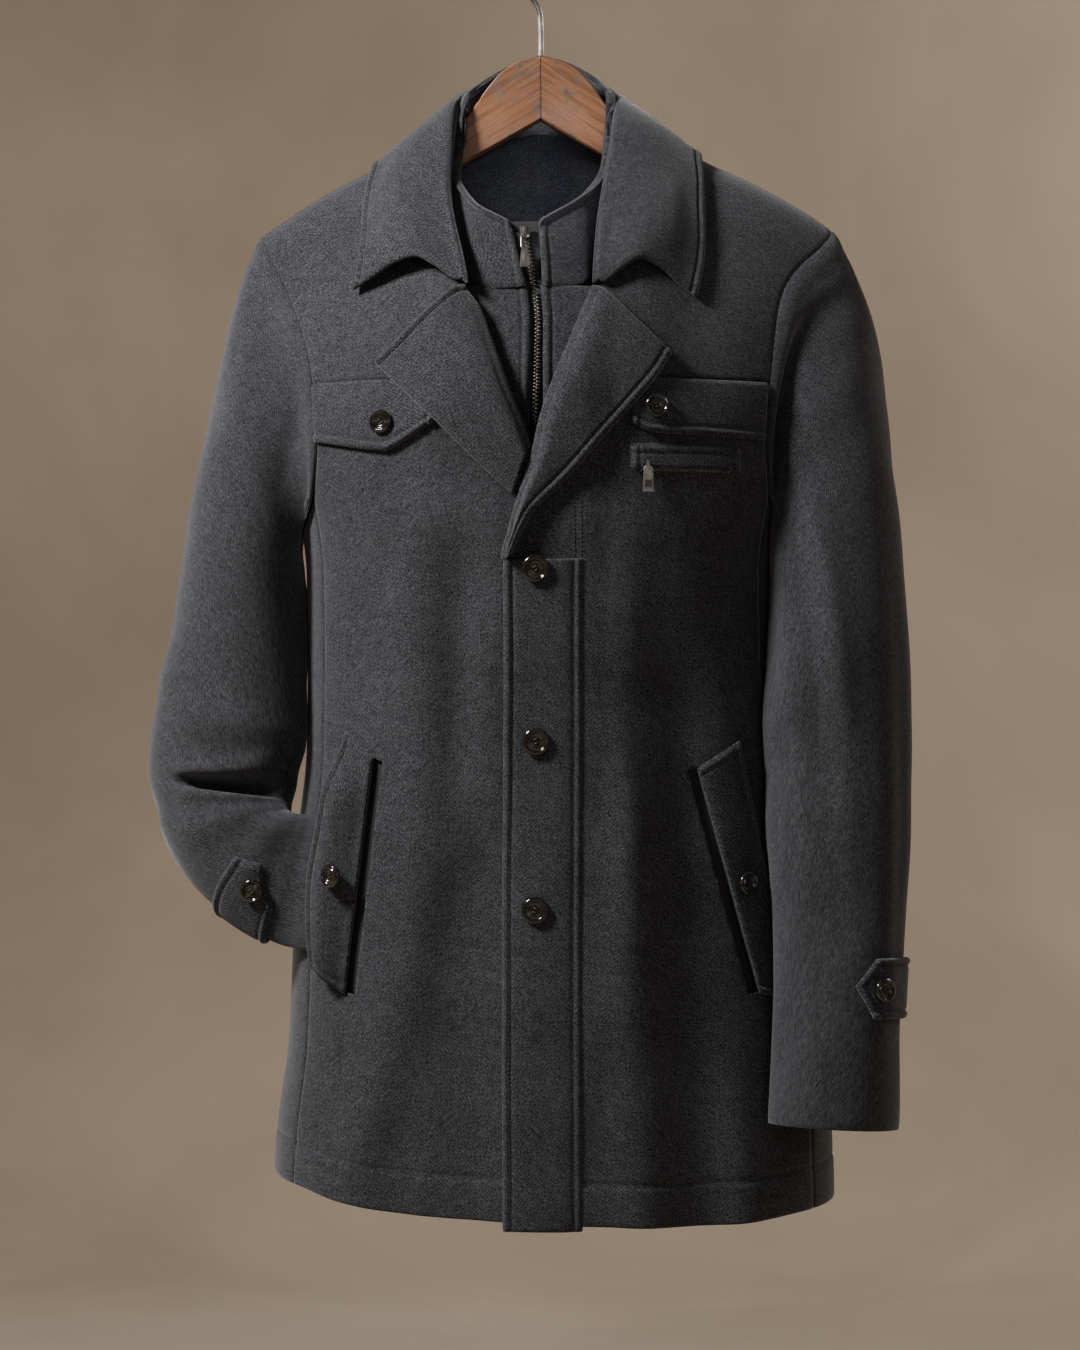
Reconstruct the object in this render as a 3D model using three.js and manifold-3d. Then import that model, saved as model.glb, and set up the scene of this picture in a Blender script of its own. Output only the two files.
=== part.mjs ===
// A wool overcoat on a wooden hanger, in millimetres. +Z is up, the front faces -Y and the
// wearer's right is -X. The origin is where a rail carries the hook, at the inside top of its bend.
import * as THREE from "three";
import Module from "manifold-3d";
import { mergeVertices } from "three/addons/utils/BufferGeometryUtils.js";

const { sin, cos, abs, min, max, sign, exp, hypot, PI } = Math;
const V = (x, y, z) => new THREE.Vector3(x, y, z);
const radians = (degrees) => (degrees * PI) / 180;
const lerp = (a, b, t) => a + (b - a) * t;
const wasm = await Module();
wasm.setup();

// Driving sizes
const cloth = 2.5; // single wool wall
const doubled = 3; // two layers pressed together: lapels, collar, flaps, tabs
const seam = 0.3; // space between neighbouring pieces
const squareness = 2.3; // of the body's outline seen from above
const seamTurn = 64; // degrees round from the centre front to the side panel
const seamSlack = 0.3; // degrees left open at that seam
const underarm = { corner: -447, low: -470 };
const yokeSeam = -355;
const neckX = 75; // where the shoulder seam meets the neck
const shoulderTip = { right: 222, left: 232 };
const chestRun = 250; // height over which the front reaches its full depth
const bladeRun = 210; // and the back
const shoulderRoll = { depth: 12, run: 9 };
const overlap = { lift: 4, from: 30, to: 58 }; // the buttoned side stands proud of the other
const bibSet = 9; // how far the bib lies behind the fronts
const bibTop = { right: -278.5, left: -279.3 };
const placket = { left: 31, right: -27.5, top: -494, bottom: -1003, lift: 7.4 };
const button = { large: 21, small: 18.5, thick: 3.6, rim: 2.2, dish: 1 };
const hangerWood = { thick: 14, bevel: 2.5 };
const hookWire = 4.2;

// Tables. Heights run from low to high.
const table = (columns, rows) =>
  rows.map((row) => Object.fromEntries(columns.split(" ").map((name, i) => [name, row[i]])));
const bodyRows = [
  { z: -1010, right: 214, left: 234, front: 122, back: 96 },
  { z: -940, right: 210, left: 232, front: 122, back: 94 },
  { z: -870, right: 201, left: 222, front: 122, back: 90 },
  { z: -800, right: 198, left: 210, front: 122, back: 87 },
  { z: -720, right: 195, left: 200, front: 122, back: 83 },
  { z: -640, right: 187, left: 193, front: 121, back: 81 },
  { z: -560, right: 186, left: 188, front: 123, back: 86 },
  { z: -500, right: 187, left: 187, front: 126, back: 92 },
  { z: -460, right: 192, left: 192, front: 128, back: 97 },
  { z: -420, right: 204, left: 205, front: 128, back: 100 },
  { z: -370, right: 218, left: 221, front: 127, back: 101 },
  { z: -300, right: 228, left: 235, front: 126, back: 100 },
  { z: -230, right: 232, left: 242, front: 124, back: 98 },
];
const hemRows = [
  { turn: -180, z: -985 },
  { turn: -90, z: -974 },
  { turn: -60, z: -979 },
  { turn: -45, z: -987 },
  { turn: -30, z: -993 },
  { turn: 0, z: -999 },
  { turn: 30, z: -1003 },
  { turn: 60, z: -998 },
  { turn: 90, z: -994 },
  { turn: 180, z: -985 },
];
const shoulderRows = [
  { x: 0, right: -112, left: -112 },
  { x: 75, right: -135, left: -132 },
  { x: 100, right: -154, left: -150 },
  { x: 130, right: -175.5, left: -170.5 },
  { x: 170, right: -196.5, left: -189 },
  { x: 213, right: -224.5, left: -213 },
  { x: 222, right: -230.5, left: -219 },
  { x: 232, right: -238, left: -226 },
];
// How far out of the underarm corner the armhole lies
const armholeRows = [
  { z: -447, right: 0, left: 0, back: 0 },
  { z: -400, right: -4, left: -4, back: -3 },
  { z: -360, right: 0, left: -1.5, back: 1 },
  { z: -338, right: 3, left: 1, back: 5 },
  { z: -312, right: 10, left: 4.5, back: 11 },
  { z: -285, right: 20, left: 10, back: 20 },
  { z: -263, right: 29, left: 20, back: 30 },
  { z: -245, right: 37, left: 36, back: 40 },
  { z: -226, right: 44, left: 54, back: 50 },
];
// The inner edge of each front, from the buttons up the roll line and round the neck
const rollRows = [
  { z: -1010, right: 25, left: -27 },
  { z: -490, right: 25, left: -27 },
  { z: -472, right: 14, left: -22.5 },
  { z: -450, right: 5, left: -16.5 },
  { z: -414, right: -6.5, left: -5 },
  { z: -388, right: -16, left: 1 },
  { z: -360, right: -27, left: 10.5 },
  { z: -330, right: -38, left: 23 },
  { z: -301, right: -49, left: 35 },
  { z: -284, right: -60, left: 42 },
  { z: -250, right: -66, left: 56 },
  { z: -200, right: -73, left: 68 },
  { z: -145, right: -75, left: 75 },
];
// Soft vertical folds: across is millimetres from the centre, depth is out from the body
const frontFolds = [
  { across: -62, low: -720, high: -430, wide: 17, depth: -5, slant: 0.03 },
  { across: -98, low: -930, high: -420, wide: 24, depth: 4, slant: -0.02 },
  { across: -88, low: -1010, high: -700, wide: 26, depth: -6, slant: 0.16 },
  { across: -128, low: -1000, high: -780, wide: 20, depth: 4, slant: 0.2 },
  { across: 62, low: -900, high: -430, wide: 20, depth: 4, slant: 0.02 },
  { across: 112, low: -1010, high: -500, wide: 26, depth: -6, slant: -0.04 },
  { across: 152, low: -1010, high: -840, wide: 18, depth: 4, slant: -0.08 },
  { across: 118, low: -350, high: -240, wide: 16, depth: -3, slant: 0.1 },
  { across: -150, low: -350, high: -235, wide: 14, depth: -3, slant: -0.1 },
];
const backFolds = [
  { across: -110, low: -1010, high: -520, wide: 30, depth: 6, slant: 0.04 },
  { across: -52, low: -1010, high: -640, wide: 26, depth: -5, slant: 0.02 },
  { across: 44, low: -1010, high: -600, wide: 30, depth: 5, slant: -0.03 },
  { across: 108, low: -1010, high: -560, wide: 26, depth: -6, slant: -0.04 },
];
// Sleeves: out is the line down the outer side, in the line from the underarm; front and back
// are depths either side of them, and flat runs from an oval (0) to a pressed tube (1)
const bentSleeve = table("t outX outY outZ inX inY inZ front back flat", [
  [0, -222, 0, -230, -192, 0, -470, 84, 72, 0],
  [1, -238, 0, -264, -193, -3, -476, 78, 68, 0],
  [2, -249, 1, -303, -191, -8, -486, 70, 64, 0],
  [3, -259, 2, -350, -188, -14, -503, 62, 60, 0],
  [4, -270, 3, -410, -185, -22, -530, 57, 57, 0],
  [5, -281, 6, -472, -183, -26, -565, 54, 55, 0],
  [6, -292, 9, -538, -183, -32, -602, 52, 52, 0],
  [7, -304, 11, -600, -188, -37, -635, 48, 47, 0],
  [8, -311, 8, -652, -194, -40, -664, 42, 42, 0.1],
  [9, -303, -3, -698, -199, -45, -681, 35, 36, 0.2],
  [10, -280, -18, -740, -199, -53, -687, 27, 27, 0.4],
  [11, -250, -34, -768, -194, -61, -689, 19, 17, 0.7],
  [12, -220, -47, -786, -184, -67, -690, 8.5, 6.5, 0.9],
  [13, -198, -54, -794, -176, -72, -691, 4.6, 4, 1],
  [14, -181, -64, -796, -165, -79, -692, 4.2, 3.6, 1],
]);
const straightSleeve = table("t outX outY outZ inX inY inZ front back flat", [
  [0, 232, 0, -226, 192, 0, -470, 84, 72, 0],
  [1, 251, -3, -262, 194, -6, -476, 78, 70, 0],
  [2, 263, -9, -303, 191, -15, -487, 70, 66, 0],
  [3, 270, -18, -352, 186, -27, -505, 62, 62, 0],
  [4, 277, -32, -412, 180, -42, -535, 56, 58, 0],
  [5, 283, -44, -475, 175, -54, -570, 52, 55, 0],
  [6, 287, -54, -542, 172, -63, -610, 50, 52, 0],
  [7, 289, -61, -608, 172, -70, -650, 48, 50, 0],
  [8, 288, -67, -670, 174, -76, -695, 46, 48, 0],
  [9, 285, -72, -732, 178, -82, -745, 45, 46, 0],
  [10, 280, -77, -790, 180, -87, -796, 44, 44, 0],
  [11, 276, -82, -850, 179, -92, -850, 43, 43, 0],
  [12, 274, -86, -931, 174, -98, -925, 42, 42, 0],
]);
// Folds that stand out on the sleeves: at t down the sleeve and turn round it, depth outwards
const bentFolds = [
  { t: 8.4, turn: 128, long: 0.6, wide: 48, depth: -18 },
  { t: 7.3, turn: 110, long: 0.45, wide: 45, depth: 4 },
  { t: 9.6, turn: 95, long: 0.5, wide: 55, depth: 4 },
  { t: 4, turn: 60, long: 2.4, wide: 22, depth: 3 },
];
const straightFolds = [
  { t: 7.2, turn: 130, long: 0.55, wide: 40, depth: -5 },
  { t: 6.2, turn: 120, long: 0.6, wide: 40, depth: 3 },
  { t: 8, turn: 35, long: 3.2, wide: 14, depth: -4 },
  { t: 9.4, turn: 100, long: 0.7, wide: 40, depth: -3 },
];
// The turned-down collar, from the centre back (at 0) to each notch (at 100)
const collarRows = {
  right: table("at rollX rollY rollZ midX midY midZ edgeX edgeY edgeZ", [
    [0, 0, 60, -91, 0, 76, -122, 0, 84, -160],
    [20, 34, 54, -96, 46, 70, -124, 58, 80, -160],
    [40, 61, 33, -108, 84, 46, -131, 104, 58, -168],
    [55, 70, 3, -121, 103, 10, -146, 130, 22, -178],
    [60, 72, -11, -131, 106, -2, -149, 134, 0, -171],
    [65, 73, -20, -150, 108, -14, -158, 137, -10, -186],
    [75, 75, -46, -190, 112, -44, -190, 141, -36, -210],
    [85, 71, -72, -224, 110, -68, -220, 142, -50, -238],
    [93, 64.5, -92, -252, 106, -82, -242, 144, -62, -262],
    [100, 60, -106, -276, 98, -92, -258, 147, -70, -281],
  ]),
  left: table("at rollX rollY rollZ midX midY midZ edgeX edgeY edgeZ", [
    [0, 0, 60, -91, 0, 76, -122, 0, 84, -160],
    [20, 31, 55, -94, 44, 70, -123, 56, 80, -160],
    [40, 54, 34, -105, 80, 46, -126, 100, 58, -164],
    [55, 65, 4, -119, 97, 12, -138, 124, 20, -170],
    [60, 64.5, -11, -131, 100, -2, -143, 127, 0, -162],
    [65, 62.5, -20, -151, 102, -14, -154, 129, -8, -182],
    [75, 56, -46, -190, 100, -44, -188, 129, -34, -206],
    [85, 49.5, -72, -222, 95, -70, -218, 129, -52, -236],
    [93, 45.5, -91, -250, 88, -86, -240, 127, -66, -262],
    [100, 43.5, -105, -278, 78, -97, -261, 121, -80, -289],
  ]),
};
// The stand collar inside it, from its right front edge round the back to its left
const standRows = table("at rimX rimY rimZ baseX baseY baseZ", [
  [0, -24, -77, -231, -12, -98, -283],
  [0.1, -50, -60, -212, -50, -88, -277],
  [0.19, -62, -30, -180, -65, -48, -232],
  [0.25, -60, -14, -150, -63, -17, -178],
  [0.29, -58, -9, -126, -60, -11.5, -137],
  [0.33, -57, 0, -117, -58.5, 0, -127],
  [0.37, -55, 10, -112, -57, 11, -132],
  [0.42, -46, 28, -101, -49, 18, -157],
  [0.5, 0, 50, -77, 0, 36, -142],
  [0.58, 42, 29, -97, 46, 18, -155],
  [0.63, 50, 10, -110, 53, 11, -130],
  [0.67, 52.5, 0, -115, 55, 0, -125],
  [0.71, 52, -9, -125, 54.5, -11.5, -135],
  [0.75, 50, -14, -150, 53, -17, -176],
  [0.81, 46, -30, -180, 50, -48, -228],
  [0.9, 33, -62, -206, 33, -89, -276],
  [1, -1, -79, -230, 1.5, -98, -283],
]);
const zipRows = [
  { z: -470, x: -3.8, gap: 6 },
  { z: -401, x: -3.8, gap: 6 },
  { z: -310, x: -3, gap: 6 },
  { z: -283, x: -5.3, gap: 6.5 },
  { z: -255, x: -9, gap: 9 },
  { z: -229, x: -12.5, gap: 12 },
];

// A smooth curve through one column of a table
function along(rows, by, at, column) {
  const last = rows.length - 1;
  if (at <= rows[0][by]) return rows[0][column];
  if (at >= rows[last][by]) return rows[last][column];
  const i = rows.findIndex((row) => row[by] > at) - 1;
  const slope = (a, b) => (rows[b][column] - rows[a][column]) / (rows[b][by] - rows[a][by]);
  const span = rows[i + 1][by] - rows[i][by];
  const t = (at - rows[i][by]) / span;
  const here = slope(i, i + 1);
  const gentle = (other) => (other * here <= 0 ? 0 : (2 * other * here) / (other + here));
  const start = i > 0 ? gentle(slope(i - 1, i)) : here;
  const end = i < last - 1 ? gentle(slope(i + 1, i + 2)) : here;
  const a = rows[i][column];
  const b = rows[i + 1][column];
  const t2 = t * t;
  const t3 = t2 * t;
  const swing = span * (start * (t3 - 2 * t2 + t) + end * (t3 - t2));
  return a * (2 * t3 - 3 * t2 + 1) + b * (3 * t2 - 2 * t3) + swing;
}
const smooth = (t) => {
  const s = min(1, max(0, t));
  return s * s * (3 - 2 * s);
};
const bell = (t) => exp(-t * t);
const sideOf = (x) => (x < 0 ? "right" : "left");
const wayOf = { right: -1, left: 1 };
const halfWidth = (z, x) => along(bodyRows, "z", z, sideOf(x));
const roundOff = (share) => (1 - min(1, abs(share)) ** squareness) ** (1 / squareness);
const turnShare = (turn) => abs(sin(radians(turn))) ** (2 / squareness);
const depthShare = (turn) => abs(cos(radians(turn))) ** (2 / squareness);
const shoulderZ = (x) => along(shoulderRows, "x", abs(x), sideOf(x));

function foldDepth(rows, x, z) {
  return rows.reduce((sum, fold) => {
    const middle = fold.across + (z - (fold.low + fold.high) / 2) * fold.slant;
    const ends = fold.low < -1000 ? 1 : smooth((z - fold.low) / 70);
    const rise = smooth((fold.high - z) / 110);
    return sum + fold.depth * bell((x - middle) / fold.wide) * ends * rise;
  }, 0);
}

// How far the cloth has come forward, or back, at this drop below the shoulder seam
function fullness(depth, drop, run) {
  const roll = min(shoulderRoll.depth, depth);
  const share = min(1, max(0, drop) / run);
  const rolled = roll * (1 - exp(-max(0, drop) / shoulderRoll.run));
  return rolled + (depth - roll) * (1 - (1 - share) ** 1.6);
}
function frontY(x, z) {
  const depth = along(bodyRows, "z", z, "front") * roundOff(x / halfWidth(z, x));
  const folds = foldDepth(frontFolds, x, z) * min(1, depth / 60);
  return -fullness(depth + folds, shoulderZ(x) - z, chestRun);
}
const napeDepth = (x) => 46 * max(0, 1 - (x / 84) ** 2);
const napeDrop = (x) => 26 * max(0, 1 - (x / 75) ** 2);
function backY(x, z) {
  const depth = along(bodyRows, "z", z, "back") * roundOff(x / halfWidth(z, x));
  const folds = foldDepth(backFolds, x, z) * min(1, depth / 60);
  const out = napeDepth(x);
  const drop = shoulderZ(x) - napeDrop(x) - z;
  return out + fullness(max(6, depth + folds - out), drop, bladeRun);
}

// A point of the front or back, moved out along the cloth's normal
function facePoint(height, x, z, lift = 0) {
  const step = 0.5;
  const dx = (height(x + step, z) - height(x - step, z)) / (2 * step);
  const dz = (height(x, z + step) - height(x, z - step)) / (2 * step);
  const way = height === frontY ? -1 : 1;
  const normal = V(-dx * way, way, -dz * way).normalize();
  return V(x, height(x, z), z).addScaledVector(normal, lift);
}
const onFront = (x, z, lift) => facePoint(frontY, x, z, lift);
const onBack = (x, z, lift) => facePoint(backY, x, z, lift);
function onSide(turn, z, lift = 0) {
  const at = (angle) => {
    const depth = along(bodyRows, "z", z, abs(angle) < 90 ? "front" : "back");
    const x = sign(angle) * halfWidth(z, angle) * turnShare(angle);
    return V(x, (abs(angle) < 90 ? -1 : 1) * depth * depthShare(angle), z);
  };
  const tangent = at(turn + 1).sub(at(turn - 1)).normalize();
  return at(turn).addScaledVector(V(tangent.y, -tangent.x, 0), lift);
}
const seamX = (z, way) => way * halfWidth(z, way) * turnShare(seamTurn);
function armholeX(z, way, face) {
  if (z < underarm.corner) return seamX(z, way) - way * seam * 0.5;
  const out = along(armholeRows, "z", z, face === "back" ? "back" : sideOf(way));
  const share = face === "back" ? (shoulderTip[sideOf(way)] - 178) / 50 : 1;
  return seamX(underarm.corner, way) + way * (out * share - seam * 0.5);
}
const hemZ = (turn) => along(hemRows, "turn", turn, "z");
const turnOf = (x, z) =>
  (sign(x) * 180 * Math.asin(min(1, abs(x) / halfWidth(z, x)) ** (squareness / 2))) / PI;

// Moves a point out of the body, so that it lies at least this far off the cloth
function clearOf(p, lift) {
  if (p.z > -440) return p;
  const away = lift * smooth((-438 - p.z) / 9);
  const wide = halfWidth(p.z, p.x);
  const deep = along(bodyRows, "z", p.z, p.y < 0 ? "front" : "back");
  const across = (abs(p.x) / (wide + away)) ** squareness;
  const through = (abs(p.y) / (deep + away)) ** squareness;
  const scale = max(1, (across + through) ** (-1 / squareness));
  const out = V(p.x * scale, p.y * scale, p.z);
  if (out.y < 0 && abs(out.x) < wide * 0.94) {
    const steep = 1 / max(0.5, roundOff(out.x / wide));
    out.y = min(out.y, frontY(out.x, out.z) - away * steep);
  }
  return out;
}
// The same above the shoulders and chest, for the collar
function clearCoat(p, lift) {
  const out = p.clone();
  if (abs(out.y) < 12)
    out.z = max(out.z, shoulderZ(out.x) + lift * 1.2 - max(0, abs(out.y) - 2) * 0.45);
  const height = out.y < 0 ? frontY : backY;
  const step = 0.5;
  const dx = (height(out.x + step, out.z) - height(out.x - step, out.z)) / (2 * step);
  const dz = (height(out.x, out.z + step) - height(out.x, out.z - step)) / (2 * step);
  const away = lift * min(2.6, hypot(1, dx, dz));
  if (out.z > shoulderZ(out.x)) return out;
  if (out.y < 0) out.y = min(out.y, frontY(out.x, out.z) - away);
  else out.y = max(out.y, backY(out.x, out.z) + away);
  return out;
}

// Solids
function closedGeometry(points, triangles) {
  const geometry = new THREE.BufferGeometry();
  const flat = new Float32Array(points.length * 3);
  points.forEach((p, i) => p.toArray(flat, i * 3));
  geometry.setAttribute("position", new THREE.BufferAttribute(flat, 3));
  const volume = triangles.reduce((sum, [a, b, c]) => {
    const across = new THREE.Vector3().crossVectors(points[b], points[c]);
    return sum + points[a].dot(across);
  }, 0);
  const order = volume < 0 ? triangles.map(([a, b, c]) => [a, c, b]) : triangles;
  geometry.setIndex(order.flat());
  geometry.computeVertexNormals();
  return geometry;
}
// A closed wall between two faces, each a grid of points [row][column]. With rings the
// columns close on themselves, as round a sleeve.
function wall({ outer, inner }, rings = false) {
  const rows = outer.length;
  const columns = outer[0].length;
  const count = rows * columns;
  const at = (i, j) => i * columns + (j % columns);
  const triangles = [];
  const quad = (a, b, c, d) => triangles.push([a, b, c], [a, c, d]);
  const rim = (a, b) => quad(b, a, a + count, b + count);
  const last = rings ? columns : columns - 1;
  for (let i = 0; i < rows - 1; i += 1)
    for (let j = 0; j < last; j += 1) {
      const corners = [at(i, j), at(i, j + 1), at(i + 1, j + 1), at(i + 1, j)];
      quad(...corners);
      quad(...corners.map((n) => n + count).reverse());
    }
  for (let j = 0; j < last; j += 1) {
    rim(at(0, j), at(0, j + 1));
    rim(at(rows - 1, j + 1), at(rows - 1, j));
  }
  if (!rings)
    for (let i = 0; i < rows - 1; i += 1) {
      rim(at(i + 1, 0), at(i, 0));
      rim(at(i, columns - 1), at(i + 1, columns - 1));
    }
  return closedGeometry([...outer.flat(), ...inner.flat()], triangles);
}
const gridOf = (rows, columns, point) =>
  Array.from({ length: rows + 1 }, (_, i) =>
    Array.from({ length: columns + 1 }, (_, j) => point(j / columns, i / rows)),
  );
const faces = (rows, columns, point, thick = cloth) => ({
  outer: gridOf(rows, columns, (u, v) => point(u, v, 0)),
  inner: gridOf(rows, columns, (u, v) => point(u, v, -thick)),
});
// A grid and the same grid moved in along its own normals
function backed(grid, thick) {
  const rows = grid.length - 1;
  const columns = grid[0].length - 1;
  const inner = grid.map((row, i) =>
    row.map((p, j) => {
      const across = row[min(columns, j + 1)].clone().sub(row[max(0, j - 1)]);
      const up = grid[min(rows, i + 1)][j].clone().sub(grid[max(0, i - 1)][j]);
      const normal = across.cross(up).normalize();
      return p.clone().addScaledVector(normal, -thick);
    }),
  );
  return { outer: grid, inner };
}
// A patch between four edges, each a function from 0 to 1 that gives {x, z}; rise says how
// far up the patch a row lies
function patch(low, high, start, end, rise = (v) => v) {
  return (u, v) => {
    const w = rise(v);
    const mix = (axis) =>
      (1 - u) * start(v)[axis] +
      u * end(v)[axis] +
      (1 - w) * (low(u)[axis] - lerp(low(0)[axis], low(1)[axis], u)) +
      w * (high(u)[axis] - lerp(high(0)[axis], high(1)[axis], u));
    return { x: mix("x"), z: mix("z") };
  };
}
// An edge drawn through points [x, z]
function edge(points) {
  const places = points.map(([x, z]) => V(x, 0, z));
  const curve = new THREE.CatmullRomCurve3(places, false, "centripetal");
  return (t) => curve.getPointAt(min(1, max(0, t)));
}
const line = (a, b) => (t) => ({ x: lerp(a[0], b[0], t), z: lerp(a[1], b[1], t) });

function solidOf(geometry) {
  const bare = new THREE.BufferGeometry();
  bare.setAttribute("position", geometry.getAttribute("position"));
  if (geometry.index) bare.setIndex(geometry.index);
  const merged = mergeVertices(bare, 1e-3);
  const vertProperties = merged.attributes.position.array;
  const triVerts = new Uint32Array(merged.index.array);
  return new wasm.Manifold(new wasm.Mesh({ numProp: 3, vertProperties, triVerts }));
}
function geometryOf(solid) {
  const mesh = solid.getMesh();
  const geometry = new THREE.BufferGeometry();
  const places = new THREE.BufferAttribute(mesh.vertProperties, 3);
  geometry.setAttribute("position", places);
  geometry.setIndex(new THREE.BufferAttribute(mesh.triVerts, 1));
  geometry.computeVertexNormals();
  return geometry;
}
const cut = (geometry, tool) => geometryOf(solidOf(geometry).subtract(solidOf(tool)));
// An upright plate: an outline of [x, z] points, thick along Y from the given place
function plate(points, thick, y, hole) {
  const flat = (list) => list.map(([x, z]) => new THREE.Vector2(x, z));
  const shape = new THREE.Shape(flat(points));
  if (hole) shape.holes.push(new THREE.Path(flat(hole)));
  const geometry = new THREE.ExtrudeGeometry(shape, { depth: thick, bevelEnabled: false });
  return geometry.rotateX(PI / 2).translate(0, y + thick, 0);
}

const finishes = {
  wool: { color: 0x46474c, roughness: 0.95, metalness: 0 },
  innerWool: { color: 0x4b4c51, roughness: 0.95, metalness: 0 },
  pocketCloth: { color: 0x0d0e10, roughness: 0.8, metalness: 0 },
  tape: { color: 0x17181a, roughness: 0.9, metalness: 0 },
  button: { color: 0x1c1714, roughness: 0.15, metalness: 0 },
  zipMetal: { color: 0x8c857a, roughness: 0.3, metalness: 1 },
  wood: { color: 0x9a6337, roughness: 0.5, metalness: 0 },
  steel: { color: 0xb9b4aa, roughness: 0.25, metalness: 1 },
};
const coat = new THREE.Group();
function piece(name, geometry, finish = "wool") {
  const material = new THREE.MeshStandardMaterial(finishes[finish]);
  const mesh = new THREE.Mesh(geometry, material);
  mesh.name = name;
  coat.add(mesh);
  return mesh;
}

// Fronts, yokes, side panels and back. Their edge points are kept for the sleeves.
const rowsOf = { front: 17, frontCorner: 14, back: 20, backCorner: 11 };
const columnsOf = { front: 12, back: 18 };
const rollX = (z, side) => along(rollRows, "z", z, side) + wayOf[side] * seam;
const proud = (side, x) =>
  side === "left" ? overlap.lift * smooth((overlap.to - x) / (overlap.to - overlap.from)) : 0;
const frontPoint = (side, at, lift) => onFront(at.x, at.z, proud(side, at.x) + lift);
const crowded = (v) => 1 - (1 - v) ** 1.6;

function frontPanel(side) {
  const way = wayOf[side];
  const top = yokeSeam - seam / 2;
  const share = rowsOf.frontCorner / rowsOf.front;
  const inner = rollX(-1000, side);
  const outer = (z) => armholeX(z, way, "front");
  const hemCorner = hemZ(way * seamTurn);
  const low = (u) => {
    const x = lerp(inner, outer(hemCorner), u);
    return { x, z: hemZ(turnOf(x, hemCorner)) };
  };
  const high = (u) => ({ x: lerp(rollX(yokeSeam, side), outer(top), u), z: top });
  const start = (v) => {
    const z = lerp(low(0).z, top, v);
    return { x: rollX(z, side), z };
  };
  const end = (v) => {
    const below = lerp(low(1).z, underarm.corner, v / share);
    const above = lerp(underarm.corner, top, (v - share) / (1 - share));
    const z = v < share ? below : above;
    return { x: outer(z), z };
  };
  const shape = patch(low, high, start, end);
  return faces(rowsOf.front, columnsOf.front, (u, v, lift) =>
    frontPoint(side, shape(u, v), lift),
  );
}

function frontYoke(side) {
  const way = wayOf[side];
  const base = yokeSeam + seam / 2;
  const tipX = way * (shoulderTip[side] - seam);
  const low = (u) => ({ x: lerp(rollX(base, side), armholeX(base, way, "front"), u), z: base });
  const high = (u) => {
    const x = lerp(way * neckX, tipX, u);
    return { x, z: shoulderZ(x) };
  };
  const start = (v) => {
    const z = lerp(base, high(0).z, v);
    return { x: lerp(rollX(z, side), high(0).x, v ** 8), z };
  };
  const end = (v) => {
    const z = lerp(base, high(1).z, v);
    return { x: lerp(armholeX(z, way, "front"), tipX, v ** 8), z };
  };
  const shape = patch(low, high, start, end);
  return faces(10, 10, (u, v, lift) => {
    const p = frontPoint(side, shape(u, crowded(v)), lift);
    p.y = min(p.y, -seam);
    return p;
  });
}

const underarmZ = (turn) =>
  lerp(underarm.low, underarm.corner, ((abs(turn) - 90) / (90 - seamTurn)) ** 2);
function sidePanel(side) {
  return faces(14, 5, (u, v, lift) => {
    const turn = lerp(seamTurn + seamSlack, 180 - seamTurn - seamSlack, u) * wayOf[side];
    return onSide(turn, lerp(hemZ(turn), underarmZ(turn), v), lift);
  });
}

function backPanel() {
  const share = rowsOf.backCorner / rowsOf.back;
  const tipX = (way) => way * (shoulderTip[sideOf(way)] - seam);
  const corner = (way) => armholeX(hemZ(way * (180 - seamTurn)), way, "back");
  const low = (u) => {
    const x = lerp(corner(1), corner(-1), u);
    return { x, z: hemZ(sign(x) * (180 - abs(turnOf(x, -985)))) };
  };
  const high = (u) => {
    const x = lerp(tipX(1), tipX(-1), u);
    return { x, z: shoulderZ(x) - napeDrop(x) };
  };
  const upper = (v) => crowded((v - share) / (1 - share));
  const side = (way, u) => (v) => {
    if (v < share) {
      const z = lerp(low(u).z, underarm.corner, v / share);
      return { x: armholeX(z, way, "back"), z };
    }
    const z = lerp(underarm.corner, high(u).z, upper(v));
    return { x: lerp(armholeX(z, way, "back"), tipX(way), upper(v) ** 10), z };
  };
  const rise = (v) => (v < share ? (0.71 * v) / share : 0.71 + 0.29 * upper(v));
  const shape = patch(low, high, side(1, 0), side(-1, 1), rise);
  return faces(rowsOf.back, columnsOf.back, (u, v, lift) => {
    const at = shape(u, v);
    const p = onBack(at.x, at.z, lift);
    p.y = max(p.y, seam);
    return p;
  });
}

const body = { back: backPanel() };
for (const side of ["right", "left"])
  body[side] = { front: frontPanel(side), yoke: frontYoke(side), panel: sidePanel(side) };

// The hand pockets' openings and the welts beside them, as [x, z] points
const pockets = {
  right: {
    slot: [[-128.5, -646], [-121.5, -648], [-143.5, -828], [-151, -826]],
    inner: [[-151, -827], [-140.5, -737], [-129.5, -646]],
    outer: [[-168.5, -806], [-170.5, -780], [-170, -741], [-162, -692.6], [-154, -645], [-150.5, -626]],
    lifted: 13,
  },
  left: {
    slot: [[119.5, -653], [112.5, -655], [160, -828], [167.5, -826]],
    inner: [[168.5, -827], [144, -738], [120.5, -653]],
    outer: [[187, -832], [184, -780], [178, -748], [171, -728], [163, -687], [152, -633]],
    lifted: 0.6,
  },
};
const slotTool = (points) => plate(points, 200, -200);
for (const side of ["right", "left"]) {
  const front = cut(wall(body[side].front), slotTool(pockets[side].slot));
  piece(`front_${side}`, front);
  piece(`yoke_${side}`, wall(body[side].yoke));
  piece(`side_panel_${side}`, wall(body[side].panel));
}
piece("back", wall(body.back));

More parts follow.
